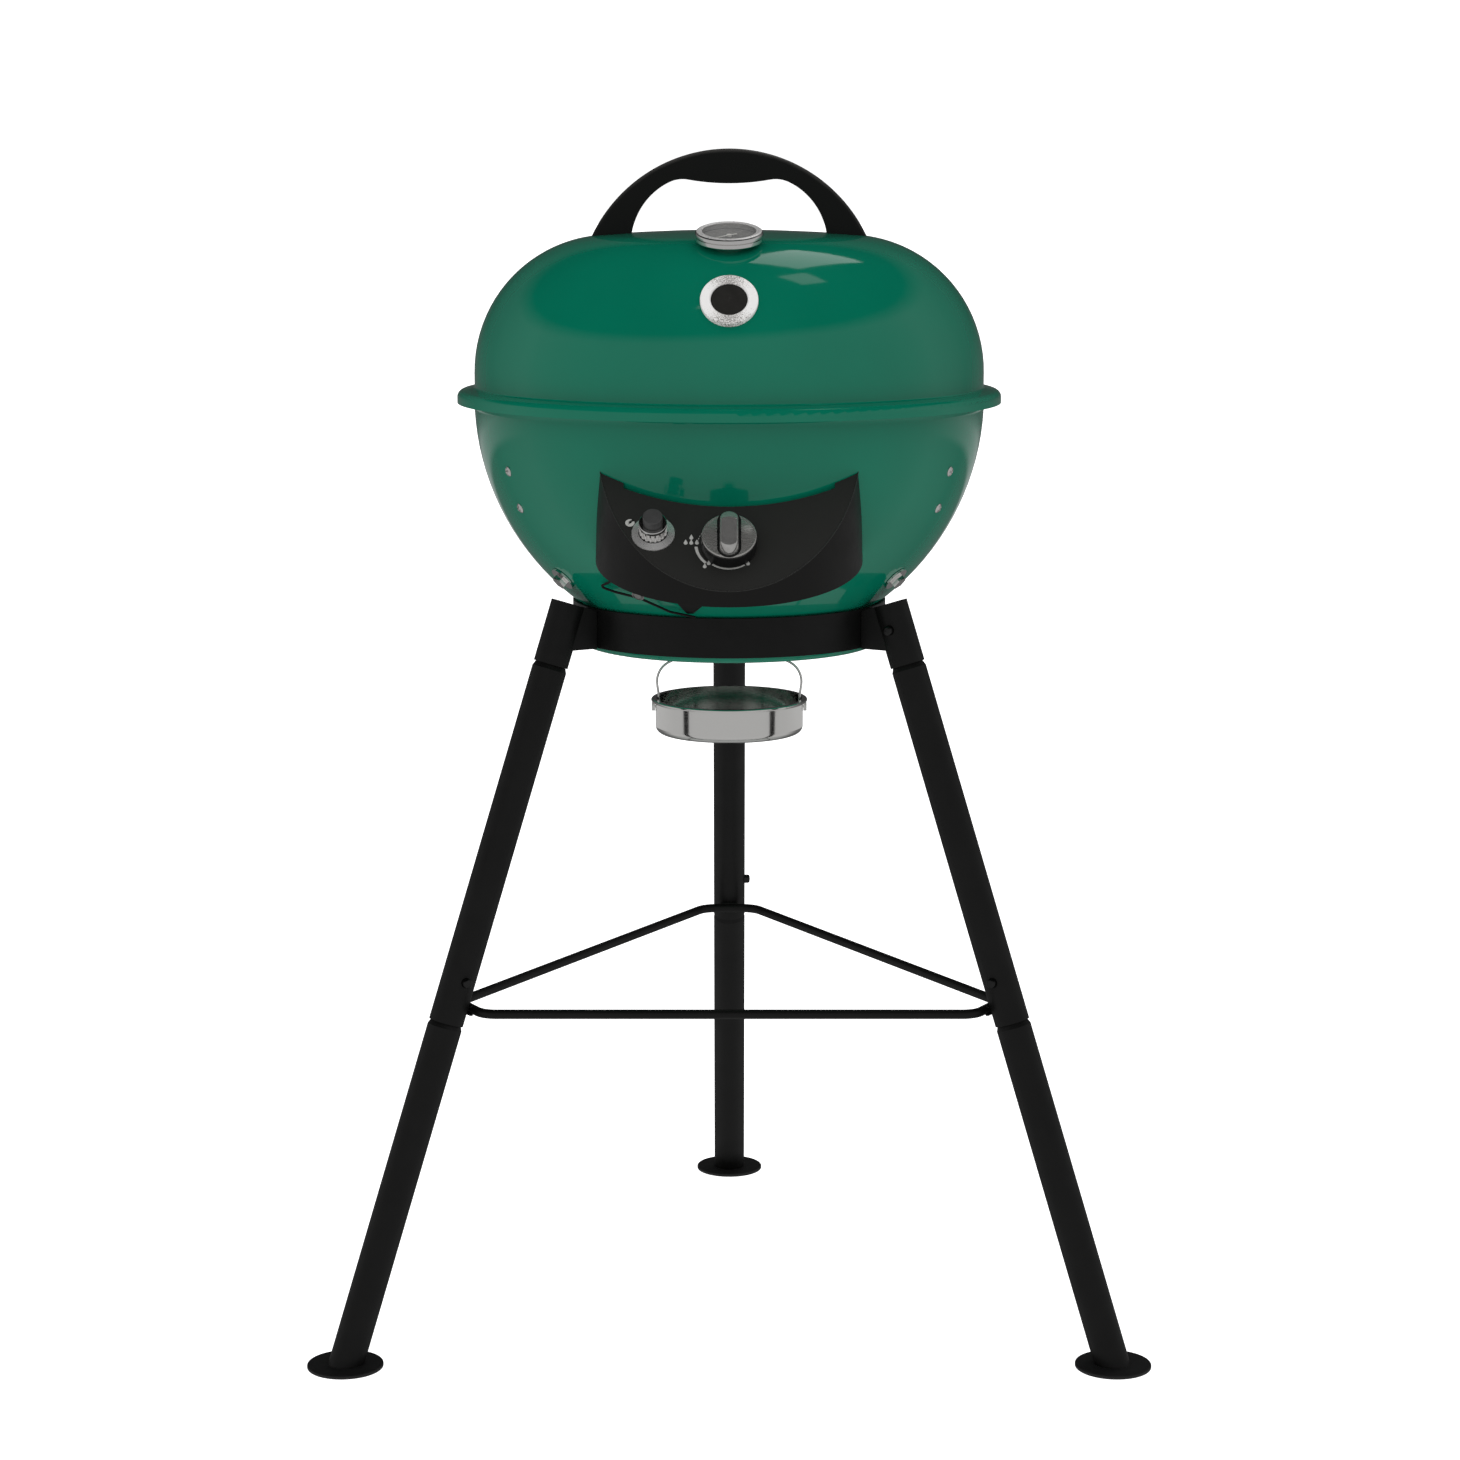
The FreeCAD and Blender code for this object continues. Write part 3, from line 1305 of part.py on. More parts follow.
def burner_venturi():
    start_y = VALVE_Y + 28.0
    end_y = -d.burner_circle - d.burner_half_width - 0.1
    outside = cylinder("venturi_outside", d.venturi_radius, end_y - start_y,
                       (0, start_y, d.burner_z), (0, 0, -90))
    inside = cylinder("venturi_inside", d.venturi_radius - 1.4, end_y - start_y + 2.0,
                      (0, start_y - 1.0, d.burner_z), (0, 0, -90))
    node(cut("venturi_cut", outside, inside), "burner_venturi")


def burner_bracket():
    """A bent strip that stands on the bowl's floor and carries the ring at the back."""
    floor_z = d.well_floor_z + d.shell_wall + 0.1
    ring_z = d.burner_z - d.burner_half_width - 0.1
    upright = 51.0
    strip = 2.0
    node(extruded("bracket_strip", "YZ_Plane", [
        (upright, floor_z),
        (upright + 15.0, floor_z),
        (upright + 15.0, floor_z + strip),
        (upright + strip, floor_z + strip),
        (upright + strip, ring_z - strip),
        (upright + 9.0, ring_z - strip),
        (upright + 9.0, ring_z),
        (upright, ring_z),
    ], 14.0), "burner_bracket")


def burner_hood():
    """A low cone that keeps drips off the flames, on three short feet on the burner."""
    sheet_gauge = 1.2
    top_z, edge_z = 674.0, 664.0
    cone = turned("hood_cone", [
        (31.0, top_z),
        (67.0, edge_z),
        (67.0, edge_z + sheet_gauge),
        (31.0, top_z + sheet_gauge),
    ])
    feet = []
    for number, azimuth in enumerate((RIGHT, REAR, LEFT)):
        angle = math.radians(azimuth)
        x = d.burner_circle.value * math.cos(angle)
        y = d.burner_circle.value * math.sin(angle)
        feet.append(box(f"hood_foot_{number}", 2.0, 8.0, 8.3,
                        (x, y, d.burner_z + d.burner_half_width + 0.1), (azimuth, 0, 0)))
    node(fuse("hood_solid", cone, *feet), "burner_hood")


def ignition_electrode():
    """A ceramic rod with its wire, on a tab beside the venturi."""
    x, y = -18.0, -74.0
    ceramic = cylinder("electrode_ceramic", 3.0, 28.0, (x, y, d.burner_z - 16.0))
    wire = cylinder("electrode_wire", 0.8, 40.0, (x, y, d.burner_z - 20.0))
    tab = box("electrode_tab", 6.8, 8.0, 1.5, (x + 4.4, y, d.burner_z - 0.75))
    node(fuse("electrode_solid", ceramic, wire, tab), "ignition_electrode")


def drip_funnel():
    """The funnel that leads fat from under the grid to the drain in the bowl's floor."""
    rim, spout, gauge = d.funnel_rim_radius, d.funnel_spout_radius, 1.2
    rim_z, throat_z = d.funnel_rim_z, d.funnel_throat_z
    outlet_z = Size(664.0)
    node(turned("funnel_turning", [
        (spout, outlet_z),
        (spout, throat_z - gauge),
        (rim - 7.5, rim_z - gauge),
        (rim, rim_z - gauge),
        (rim, rim_z),
        (rim - 8.0, rim_z),
        (spout - gauge, throat_z),
        (spout - gauge, outlet_z),
    ]), "drip_funnel")


def cooking_grid():
    """A round rim rod with parallel bars and two cross rods below them."""
    rim = doc.addObject("Part::Torus", "grid_rim")
    bind(rim, Radius1=d.grid_radius, Radius2=d.grid_rod_radius)
    spacing, bar_radius, bars_a_side = 19.0, 2.0, 9
    end_circle = d.grid_radius - 1.5
    rods = [rim]
    for number in range(-bars_a_side, bars_a_side + 1):
        x = number * spacing
        half = root(end_circle * end_circle - x * x)
        rods.append(cylinder(f"grid_bar_{number + bars_a_side}", bar_radius, half * 2,
                             (x, -half, 0), (0, 0, -90)))
    for number, y in enumerate((-70.0, 70.0)):
        half = Size(172.0)
        rods.append(cylinder(f"grid_cross_{number}", bar_radius, half * 2,
                             (-half, y, -3.6), (0, 90, 0)))
    node(fuse("grid_solid", *rods), "cooking_grid", (0, 0, d.grid_z))


# ---------------------------------------------------------------- drip pan

def pan_hook():
    """A strip across the drain whose notch holds the top of the bail."""
    base_z = d.well_floor_z + d.shell_wall + 0.05
    top_z = base_z + 0.95
    horn_z = base_z + 4.0
    outline = [
        (-44.0, base_z),
        (44.0, base_z),
        (44.0, top_z),
        (5.0, top_z),
        (4.0, horn_z),
        (2.3, horn_z),
        (1.8, top_z),
        (-1.8, top_z),
        (-2.3, horn_z),
        (-4.0, horn_z),
        (-5.0, top_z),
        (-44.0, top_z),
    ]
    node(extruded("hook_strip", "YZ_Plane", outline, 6.0), "pan_hook")


def pan_bail():
    """An arch of wire whose ends turn outwards through the pan's wall to riveted heads."""
    half_width, shoulder_x = d.bail_half_width.value, d.bail_shoulder_half_width.value
    ear_z, shoulder_z, top_z = d.pan_ear_z.value, d.bail_shoulder_z.value, d.bail_top_z.value
    wire = d.bail_wire_radius.value
    waist_z = d.pan_rim_z.value + 1.0
    half_top = 6.0
    right_half = [
        (half_top, top_z),
        (shoulder_x, shoulder_z),
        (half_width, waist_z),
        (half_width, ear_z - wire),
    ]
    left_half = [(-x, z) for x, z in reversed(right_half)]
    corners = [FreeCAD.Vector(x, 0, z) for x, z in left_half + right_half]
    path = rounded_path(corners, d.bail_bend_radius.value, False)
    pieces = [bent_bar("bail_arch", path, wire)]
    head_start, head_end = d.pan_radius + 0.3, d.pan_radius + 3.0
    for side, lean, sign in (("left", -90, -1), ("right", 90, 1)):
        pieces.append(cylinder(f"bail_end_{side}", wire, head_end - d.bail_half_width,
                               (d.bail_half_width * sign, 0, ear_z), (0, lean, 0)))
        pieces.append(cylinder(f"bail_head_{side}", d.bail_rivet_radius, head_end - head_start,
                               (head_start * sign, 0, ear_z), (0, lean, 0)))
    node(fuse("bail_solid", *pieces), "pan_bail")


def drip_pan():
    radius, wall, corner = d.pan_radius, d.pan_wall, d.pan_corner
    floor_z, rim_z = d.pan_floor_z, d.pan_rim_z
    bead = 1.3
    bead_reach = 2.3
    pan = turned("pan_turning", [
        (0, floor_z),
        (radius - corner, floor_z),
        (radius, floor_z + corner, corner, "left"),
        (radius, rim_z - bead * 2),
        (radius + bead_reach, rim_z - bead * 2),
        (radius + bead_reach + bead, rim_z - bead, bead, "left"),
        (radius + bead_reach, rim_z, bead, "left"),
        (radius - wall, rim_z),
        (radius - wall, floor_z + corner),
        (radius - corner, floor_z + wall, corner - wall, "right"),
        (0, floor_z + wall),
    ])
    ear_hole = cylinder("ear_hole", d.bail_wire_radius + 0.4, 150.0,
                        (-75.0, 0, d.pan_ear_z), (0, 90, 0))
    node(cut("pan_cut", pan, ear_hole), "drip_pan")


# ---------------------------------------------------------------- build and write

def build():
    kettle_bowl()
    lid_shell()
    lid_handle()
    handle_screws()
    thermometer()
    badge()
    leg_ring()
    leg_brace()
    brace_sleeves()
    for side, azimuth in LEGS.items():
        leg_socket(side, azimuth)
        upper_leg(side, azimuth)
        lower_leg(side, azimuth)
        foot_pad(side, azimuth)
        for place in BUTTON_PLACES:
            snap_button(side, azimuth, place)
    button_springs()
    bowl_screws()
    bowl_bolts()
    funnel_brackets()
    control_housing()
    housing_screws()
    gas_valve()
    injector_nozzle()
    gas_knob()
    igniter()
    hose_guide()
    ring_burner()
    burner_venturi()
    burner_bracket()
    burner_hood()
    ignition_electrode()
    drip_funnel()
    cooking_grid()
    pan_hook()
    pan_bail()
    drip_pan()


def check_and_write():
    doc.recompute()
    broken = [f"{thing.Name}: {thing.State}" for thing in doc.Objects
              if "Invalid" in thing.State or "Error" in thing.State]
    for thing in nodes:
        shape = thing.Shape
        if shape.isNull() or not shape.isValid() or not shape.Solids:
            broken.append(f"{thing.Label}: shape is null, invalid or not solid")
    if broken:
        raise RuntimeError("; ".join(broken))
    os.makedirs("parts", exist_ok=True)
    for thing in nodes:
        thing.Shape.exportStep(f"parts/{thing.Label}.step")
    print(len(nodes), "nodes written")


build()
check_and_write()
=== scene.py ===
import json
import math

import bmesh
import bpy
from mathutils import Matrix, Vector


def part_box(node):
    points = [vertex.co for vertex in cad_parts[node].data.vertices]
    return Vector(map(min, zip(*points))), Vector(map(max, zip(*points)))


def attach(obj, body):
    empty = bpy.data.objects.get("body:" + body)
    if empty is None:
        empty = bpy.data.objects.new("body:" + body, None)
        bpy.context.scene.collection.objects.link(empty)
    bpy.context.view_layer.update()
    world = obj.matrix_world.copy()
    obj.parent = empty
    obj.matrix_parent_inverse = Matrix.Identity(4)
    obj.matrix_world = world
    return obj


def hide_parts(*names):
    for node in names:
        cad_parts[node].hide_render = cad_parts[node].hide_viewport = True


# Looks for the gas kettle grill. Metres; +Z is up and the controls face -Y.

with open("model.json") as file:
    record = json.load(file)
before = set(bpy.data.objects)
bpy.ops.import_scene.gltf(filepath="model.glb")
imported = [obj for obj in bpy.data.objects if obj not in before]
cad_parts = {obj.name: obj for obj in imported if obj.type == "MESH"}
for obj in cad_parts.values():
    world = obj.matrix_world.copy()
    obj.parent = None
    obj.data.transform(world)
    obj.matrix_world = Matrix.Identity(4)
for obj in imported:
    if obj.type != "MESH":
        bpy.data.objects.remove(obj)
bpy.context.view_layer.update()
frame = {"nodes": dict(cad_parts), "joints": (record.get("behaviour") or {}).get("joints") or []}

MM = 0.001
SIDES = ("left", "right", "rear")
scene = bpy.context.scene
cad = frame["nodes"]
joints = {joint["name"]: joint for joint in frame["joints"]}


def middle(node):
    low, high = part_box(node)
    return (low + high) / 2


KETTLE_AXIS = Vector((0, middle("leg_ring").y, 0))


# ---------------------------------------------------------------- camera, light and floor

CAMERA_PITCH = 9.86
CAMERA_PLACE = (0.00065, -2.861, 0.9802)
CAMERA_LENS = 83.14
FRONT_GREY = 0.40
REAR_GREY = 0.13
BACK_GREY = 0.04
HORIZON_GREY = 0.45
HORIZON_DIP = 0.16
BACKDROP_STRENGTH = 1.1
CEILING_GREY = 0.004
GROUND_GREY = 0.41
CEILING_LEAN = (-0.09, 0.09, 1.0)
CEILING_EDGE = (0.49, 0.60)
SOFT_LIGHT = ((0.0, 0.92), (0.5, 0.64), (1.0, 0.60))
WINDOW_DISTANCE = 3.0
SOLID_WHITE = (1.0, 1.0, 1.0, 1.0)


def make_camera():
    data = bpy.data.cameras.new("camera")
    data.lens = CAMERA_LENS
    data.sensor_width = 36.0
    data.clip_end = 80.0
    camera = bpy.data.objects.new("camera", data)
    camera.location = CAMERA_PLACE
    camera.rotation_euler = (math.radians(90.0 - CAMERA_PITCH), 0, 0)
    scene.collection.objects.link(camera)
    scene.camera = camera
    scene.view_settings.view_transform = "Standard"


def math_node(tree, operation, *values, clamp=False):
    """A Math node; each input is a socket or a number."""
    step = tree.nodes.new("ShaderNodeMath")
    step.operation = operation
    step.use_clamp = clamp
    for socket, value in zip(step.inputs, values):
        if isinstance(value, bpy.types.NodeSocket):
            tree.links.new(value, socket)
        else:
            socket.default_value = value
    return step.outputs[0]


def color_ramp(tree, source, stops):
    """A smooth ramp of (position, colour) stops."""
    ramp = tree.nodes.new("ShaderNodeValToRGB")
    elements = ramp.color_ramp.elements
    while len(elements) < len(stops):
        elements.new(0.5)
    for element, (position, color) in zip(elements, stops):
        element.position = position
        element.color = (*color, 1)
    tree.links.new(source, ramp.inputs[0])
    return ramp.outputs[0]


def grey_ramp(tree, source, stops):
    return color_ramp(tree, source, [(position, (grey, grey, grey)) for position, grey in stops])


def split_axes(tree, vector):
    """The X, Y and Z sockets of a vector."""
    axes = tree.nodes.new("ShaderNodeSeparateXYZ")
    tree.links.new(vector, axes.inputs[0])
    return axes.outputs


def make_world():
    """A room for the reflections, dark above and behind with a pale band just below the
    horizon, and even soft light for the rest."""
    world = bpy.data.worlds.new("studio")
    scene.world = world
    world.use_nodes = True
    tree = world.node_tree
    tree.nodes.clear()
    direction = tree.nodes.new("ShaderNodeTexCoord").outputs["Generated"]
    axes = split_axes(tree, direction)
    half = [math_node(tree, "MULTIPLY_ADD", axis, 0.5, 0.5) for axis in axes]

    walls = grey_ramp(tree, half[1], [(0.62, FRONT_GREY), (0.84, REAR_GREY), (0.97, BACK_GREY)])
    ground = grey_ramp(tree, half[1], [(0.62, GROUND_GREY), (0.84, REAR_GREY)])
    lean = tree.nodes.new("ShaderNodeVectorMath")
    lean.operation = "DOT_PRODUCT"
    lean.inputs[1].default_value = CEILING_LEAN
    tree.links.new(direction, lean.inputs[0])
    low, high = CEILING_EDGE
    ceiling = math_node(tree, "DIVIDE", math_node(tree, "SUBTRACT", lean.outputs["Value"], low),
                        high - low, clamp=True)
    above = math_node(tree, "MULTIPLY_ADD", axes[2], 5.0, 0.5, clamp=True)

    def blended(share, first, second):
        blend = tree.nodes.new("ShaderNodeMix")
        blend.data_type = "RGBA"
        tree.links.new(share, blend.inputs["Factor"])
        tree.links.new(first, blend.inputs["A"])
        if isinstance(second, bpy.types.NodeSocket):
            tree.links.new(second, blend.inputs["B"])
        else:
            blend.inputs["B"].default_value = (second, second, second, 1)
        return blend.outputs["Result"]

    off_horizon = math_node(tree, "ABSOLUTE", math_node(tree, "ADD", axes[2], HORIZON_DIP))
    horizon = math_node(tree, "MULTIPLY_ADD", off_horizon, -35.0, 1.9, clamp=True)
    far = grey_ramp(tree, half[1], [(0.55, FRONT_GREY), (0.8, HORIZON_GREY)])
    sides = blended(horizon, blended(above, ground, walls), far)
    colors = [blended(ceiling, sides, CEILING_GREY), grey_ramp(tree, half[2], SOFT_LIGHT)]
    skies = []
    for color in colors:
        sky = tree.nodes.new("ShaderNodeBackground")
        tree.links.new(color, sky.inputs["Color"])
        skies.append(sky.outputs[0])
    backdrop = tree.nodes.new("ShaderNodeBackground")
    backdrop.inputs["Color"].default_value = SOLID_WHITE
    backdrop.inputs["Strength"].default_value = BACKDROP_STRENGTH
    rays = tree.nodes.new("ShaderNodeLightPath").outputs
    shown = skies[1]
    for ray, sky in (("Is Glossy Ray", skies[0]), ("Is Camera Ray", backdrop.outputs[0])):
        either = tree.nodes.new("ShaderNodeMixShader")
        tree.links.new(rays[ray], either.inputs[0])
        tree.links.new(shown, either.inputs[1])
        tree.links.new(sky, either.inputs[2])
        shown = either.outputs[0]
    output = tree.nodes.new("ShaderNodeOutputWorld")
    tree.links.new(shown, output.inputs[0])


def area_light(name, place, target, width, height, watts, roll=0.0, mirrored=False):
    data = bpy.data.lights.new(name, "AREA")
    data.shape = "RECTANGLE"
    data.size = width
    data.size_y = height
    data.energy = watts
    light = bpy.data.objects.new(name, data)
    aim = Vector(target) - Vector(place)
    turn = aim.to_track_quat("-Z", "Y").to_matrix() @ Matrix.Rotation(math.radians(roll), 3, "Z")
    light.matrix_world = Matrix.Translation(place) @ turn.to_4x4()
    light.visible_glossy = mirrored
    scene.collection.objects.link(light)


def window(name, direction, width, height, radiance, roll=0.0):
    """A bright rectangle that the lid mirrors, seen from the front of the lid's shoulder."""
    lid_point = Vector((0.065, KETTLE_AXIS.y - 0.139, 0.892))
    place = lid_point + Vector(direction).normalized() * WINDOW_DISTANCE
    watts = radiance * math.pi * width * height
    area_light(name, place, lid_point, width, height, watts, roll, mirrored=True)


def make_lights():
    kettle = (0, KETTLE_AXIS.y, 0.75)
    area_light("overhead", (0.3, -0.9, 3.2), kettle, 2.6, 2.6, 12.0)
    area_light("front_fill", (-1.2, -3.2, 1.4), kettle, 2.0, 2.0, 8.0)
    window("window_large", (0.183, 0.522, 0.795), 0.81, 1.28, 1.35)
    window("window_small", (0.316, 0.145, 0.930), 0.52, 0.50, 1.0, 31.0)
    window("window_tiny", (-0.2, -0.43, 0.876), 0.10, 0.14, 1.2)


def make_floor():
    """A pale floor that the reflections don't show, like the rest of the plain backdrop."""
    shape = bmesh.new()
    bmesh.ops.create_grid(shape, x_segments=8, y_segments=8, size=40.0)
    data = bpy.data.meshes.new("floor")
    shape.to_mesh(data)
    shape.free()
    floor = bpy.data.objects.new("floor", data)
    floor.location.z = min(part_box(f"foot_pad_{side}")[0].z for side in SIDES)
    scene.collection.objects.link(floor)
    paper = bpy.data.materials.new("floor_paper")
    paper.use_nodes = True
    finish = paper.node_tree.nodes["Principled BSDF"]
    finish.inputs["Base Color"].default_value = (0.85, 0.85, 0.85, 1)
    finish.inputs["Roughness"].default_value = 1.0
    finish.inputs["Specular IOR Level"].default_value = 0.0
    finish.inputs["Emission Color"].default_value = SOLID_WHITE
    finish.inputs["Emission Strength"].default_value = 1.0
    data.materials.append(paper)
    floor.visible_glossy = False
    floor.visible_diffuse = False
    floor.visible_shadow = False


# ---------------------------------------------------------------- finishes

class Finish:
    """A Principled material and the node chains that the finishes share."""

    def __init__(self, name, color, roughness, metallic=0.0):
        self.material = bpy.data.materials.new(name)
        self.material.use_nodes = True
        self.tree = self.material.node_tree
        self.surface = self.tree.nodes["Principled BSDF"]
        self.color = color
        self.roughness = roughness
        self.set("Base Color", (*color, 1.0))
        self.set("Roughness", roughness)
        self.set("Metallic", metallic)
        self.place = self.tree.nodes.new("ShaderNodeTexCoord").outputs["Object"]

    def set(self, socket, value):
        self.surface.inputs[socket].default_value = value

    def feed(self, socket, source):
        self.tree.links.new(source, self.surface.inputs[socket])

    def math(self, operation, *values, clamp=False):
        return math_node(self.tree, operation, *values, clamp=clamp)

    def about(self, centre, turn=None):
        """The object's coordinates counted from a centre and turned into a part's own axes."""
        mapping = self.tree.nodes.new("ShaderNodeMapping")
        mapping.vector_type = "TEXTURE"
        mapping.inputs["Location"].default_value = centre
        if turn is not None:
            mapping.inputs["Rotation"].default_value = turn.to_euler()
        self.tree.links.new(self.place, mapping.inputs["Vector"])
        self.place = mapping.outputs[0]
        return self

    def polar(self, radius):
        """Coordinates (arc length, distance from the axis, height) about the part's own Z axis."""
        x, y, z = split_axes(self.tree, self.place)
        arc = self.math("MULTIPLY", self.math("ARCTAN2", y, x), radius)
        squares = self.math("ADD", self.math("MULTIPLY", x, x), self.math("MULTIPLY", y, y))
        distance = self.math("POWER", squares, 0.5)
        joined = self.tree.nodes.new("ShaderNodeCombineXYZ")
        for socket, value in zip(joined.inputs, (arc, distance, z)):
            self.tree.links.new(value, socket)
        self.place = joined.outputs[0]
        return self

    def grain(self, scale, detail=2.0, stretch=(1.0, 1.0, 1.0)):
        """Noise with features of about 1 / scale metres, drawn out where stretch is below 1."""
        mapping = self.tree.nodes.new("ShaderNodeMapping")
        mapping.inputs["Scale"].default_value = stretch
        self.tree.links.new(self.place, mapping.inputs["Vector"])
        noise = self.tree.nodes.new("ShaderNodeTexNoise")
        noise.inputs["Scale"].default_value = scale
        noise.inputs["Detail"].default_value = detail
        self.tree.links.new(mapping.outputs[0], noise.inputs["Vector"])
        return noise.outputs[0]

    def paint(self, source, stops):
        """The base colour from a ramp of (position, colour) stops."""
        self.feed("Base Color", color_ramp(self.tree, source, stops))

    def tint(self, source, spread):
        """The base colour varied by a share, spread, either way."""
        dark = [channel * (1 - spread) for channel in self.color]
        light = [channel * (1 + spread) for channel in self.color]
        self.paint(source, [(0.35, dark), (0.65, light)])

    def wear(self, source, spread):
        """The roughness varied either way."""
        span = self.tree.nodes.new("ShaderNodeMapRange")
        for name, value in (("From Min", 0.3), ("From Max", 0.7),
                            ("To Min", self.roughness - spread),
                            ("To Max", self.roughness + spread)):
            span.inputs[name].default_value = value
        self.tree.links.new(source, span.inputs["Value"])
        self.feed("Roughness", span.outputs[0])

    def bump(self, source, depth, strength=1.0):
        """Relief of that depth in metres; a second call adds to the first."""
        bump = self.tree.nodes.new("ShaderNodeBump")
        bump.inputs["Distance"].default_value = depth
        bump.inputs["Strength"].default_value = strength
        self.tree.links.new(source, bump.inputs["Height"])
        normal = self.surface.inputs["Normal"]
        if normal.is_linked:
            self.tree.links.new(normal.links[0].from_socket, bump.inputs["Normal"])
        self.feed("Normal", bump.outputs[0])


def green_enamel():
    finish = Finish("green_enamel", (0.0012, 0.172, 0.102), 0.075)
    finish.tint(finish.grain(9.0, 4.0), 0.04)
    finish.wear(finish.grain(35.0, 3.0), 0.015)
    finish.bump(finish.grain(130.0, 2.0), 0.00003, 0.2)
    finish.bump(finish.grain(900.0, 1.0), 0.00001, 0.2)
    return finish.material


def handle_plastic():
    """Black plastic with a painted highlight: paler where it faces up, with some random grain
    mixed in.
    """
    finish = Finish("handle_plastic", (0.004, 0.0045, 0.004), 0.3)
    finish.set("Specular IOR Level", 0.16)
    facing = finish.tree.nodes.new("ShaderNodeNewGeometry").outputs["Normal"]
    upward = split_axes(finish.tree, facing)[2]
    # Painted highlight: faces that point up turn paler, standing in for light from above, with
    # random grain mixed in.
    grain_and_painted_highlight = finish.math("MULTIPLY_ADD", finish.grain(45.0, 3.0), 0.2, upward)
    finish.paint(grain_and_painted_highlight, [(0.3, finish.color), (0.95, (0.06, 0.058, 0.055))])
    finish.wear(finish.grain(60.0, 3.0), 0.05)
    finish.bump(finish.grain(1400.0, 2.0), 0.00003, 0.35)
    return finish.material


def housing_plastic():
    """A satin skirt, and a paler fine-grained face on the panel's plane."""
    finish = Finish("housing_plastic", (0.0068, 0.0066, 0.0062), 0.42)
    finish.set("Specular IOR Level", 0.2)
    finish.wear(finish.grain(50.0, 3.0), 0.05)
    finish.bump(finish.grain(1600.0, 2.0), 0.00004, 0.5)
    finish.about(KNOB_AT, PANEL_AXES)
    height = split_axes(finish.tree, finish.place)[2]
    lift = finish.math("MULTIPLY_ADD", height, 1000.0, 0.8, clamp=True)
    finish.paint(lift, [(0.3, finish.color), (0.6, (0.0245, 0.0245, 0.023))])
    return finish.material


def powder_coat():
    finish = Finish("powder_coat", (0.0036, 0.0036, 0.0034), 0.45)
    finish.set("Specular IOR Level", 0.26)
    finish.tint(finish.grain(25.0, 3.0), 0.15)
    finish.wear(finish.grain(80.0, 2.0), 0.05)
    finish.bump(finish.grain(1100.0, 3.0), 0.00006, 0.6)
    return finish.material


def foot_rubber():
    finish = Finish("foot_rubber", (0.006, 0.006, 0.006), 0.55)
    finish.wear(finish.grain(70.0, 3.0), 0.08)
    finish.bump(finish.grain(700.0, 3.0), 0.00008, 0.6)
    return finish.material


def plain_metal(name, color, roughness, spread=0.06, metallic=1.0):
    finish = Finish(name, color, roughness, metallic)
    finish.tint(finish.grain(150.0, 3.0), 0.08)
    finish.wear(finish.grain(400.0, 3.0), spread)
    finish.bump(finish.grain(1500.0, 2.0), 0.00001, 0.5)
    return finish.material


def brushed_metal(name, color, roughness, stretch, spread, metallic):
    """Metal brushed in straight lines along the axis where stretch is small."""
    finish = Finish(name, color, roughness, metallic)
    lines = finish.grain(2400.0, 2.0, stretch)
    finish.tint(lines, spread)
    finish.wear(lines, 0.06)
    finish.bump(lines, 0.00003, 0.6)
    return finish.material


def satin_chrome(name, centre, turn, axis, start, satin):
    """Chrome whose finish turns satin past a distance, in mm, along one polar coordinate."""
    finish = Finish(name, (0.84, 0.83, 0.82), 0.08, 1.0)
    finish.about(centre, turn).polar(1.0)
    along = split_axes(finish.tree, finish.place)[axis]
    share = finish.math("MULTIPLY_ADD", along, 4000.0, -4.0 * start, clamp=True)
    finish.feed("Metallic", finish.math("MULTIPLY_ADD", share, satin - 1.0, 1.0))
    speckle = finish.grain(500.0, 3.0, (0.02, 1.0, 1.0))
    rough = finish.math("MULTIPLY_ADD", speckle, 0.06, 0.05)
    finish.feed("Roughness", finish.math("MULTIPLY_ADD", share, 0.2, rough))
    finish.bump(speckle, 0.00001, 0.3)
    return finish.material


def badge_metal():
    """Pale satin metal with dark specks; painted shade above and below brings the specks out, and
    a painted highlight lies left and right, standing in for the sheen of metal brushed round.
    """
    finish = Finish("badge_steel", (1.0, 0.99, 0.98), 0.4)
    finish.about(BADGE_AT, BADGE_AXES).polar(1.0)
    angle = split_axes(finish.tree, finish.place)[0]
    # Painted highlight left and right and painted shade above and below, set by the angle round
    # the badge.
    painted_sheen_lobes = finish.math("COSINE", finish.math("MULTIPLY", angle, 2.0))
    specks = finish.grain(1100.0, 4.0, (0.018, 1.0, 1.0))
    # The share mixes the random specks with the painted highlight and shade.
    share = finish.math("MULTIPLY_ADD", painted_sheen_lobes, -0.17, specks)
    finish.paint(share, [(0.5, (1.0, 0.99, 0.98)), (0.64, (0.62, 0.6, 0.58)),
                         (0.8, (0.16, 0.15, 0.14))])
    finish.wear(specks, 0.08)
    finish.bump(specks, 0.00002, 0.5)
    return finish.material


def pan_metal():
    """Bright spun steel, with painted shade making it darker inside the pan."""
    finish = Finish("pan_steel", (0.93, 0.92, 0.9), 0.12, 1.0)
    finish.about(PAN_AT).polar(0.062)
    distance = split_axes(finish.tree, finish.place)[1]
    # Painted shade: the base colour turns darker within about 61 mm of the pan's axis, over its
    # inside.
    depth = finish.math("MULTIPLY_ADD", distance, 2000.0, -122.8, clamp=True)
    finish.paint(depth, [(0.2, (0.68, 0.69, 0.67)), (0.6, finish.color)])
    lines = finish.grain(2600.0, 2.0, (0.03, 1.0, 1.0))
    finish.wear(lines, 0.04)
    finish.bump(lines, 0.00001, 0.5)
    return finish.material


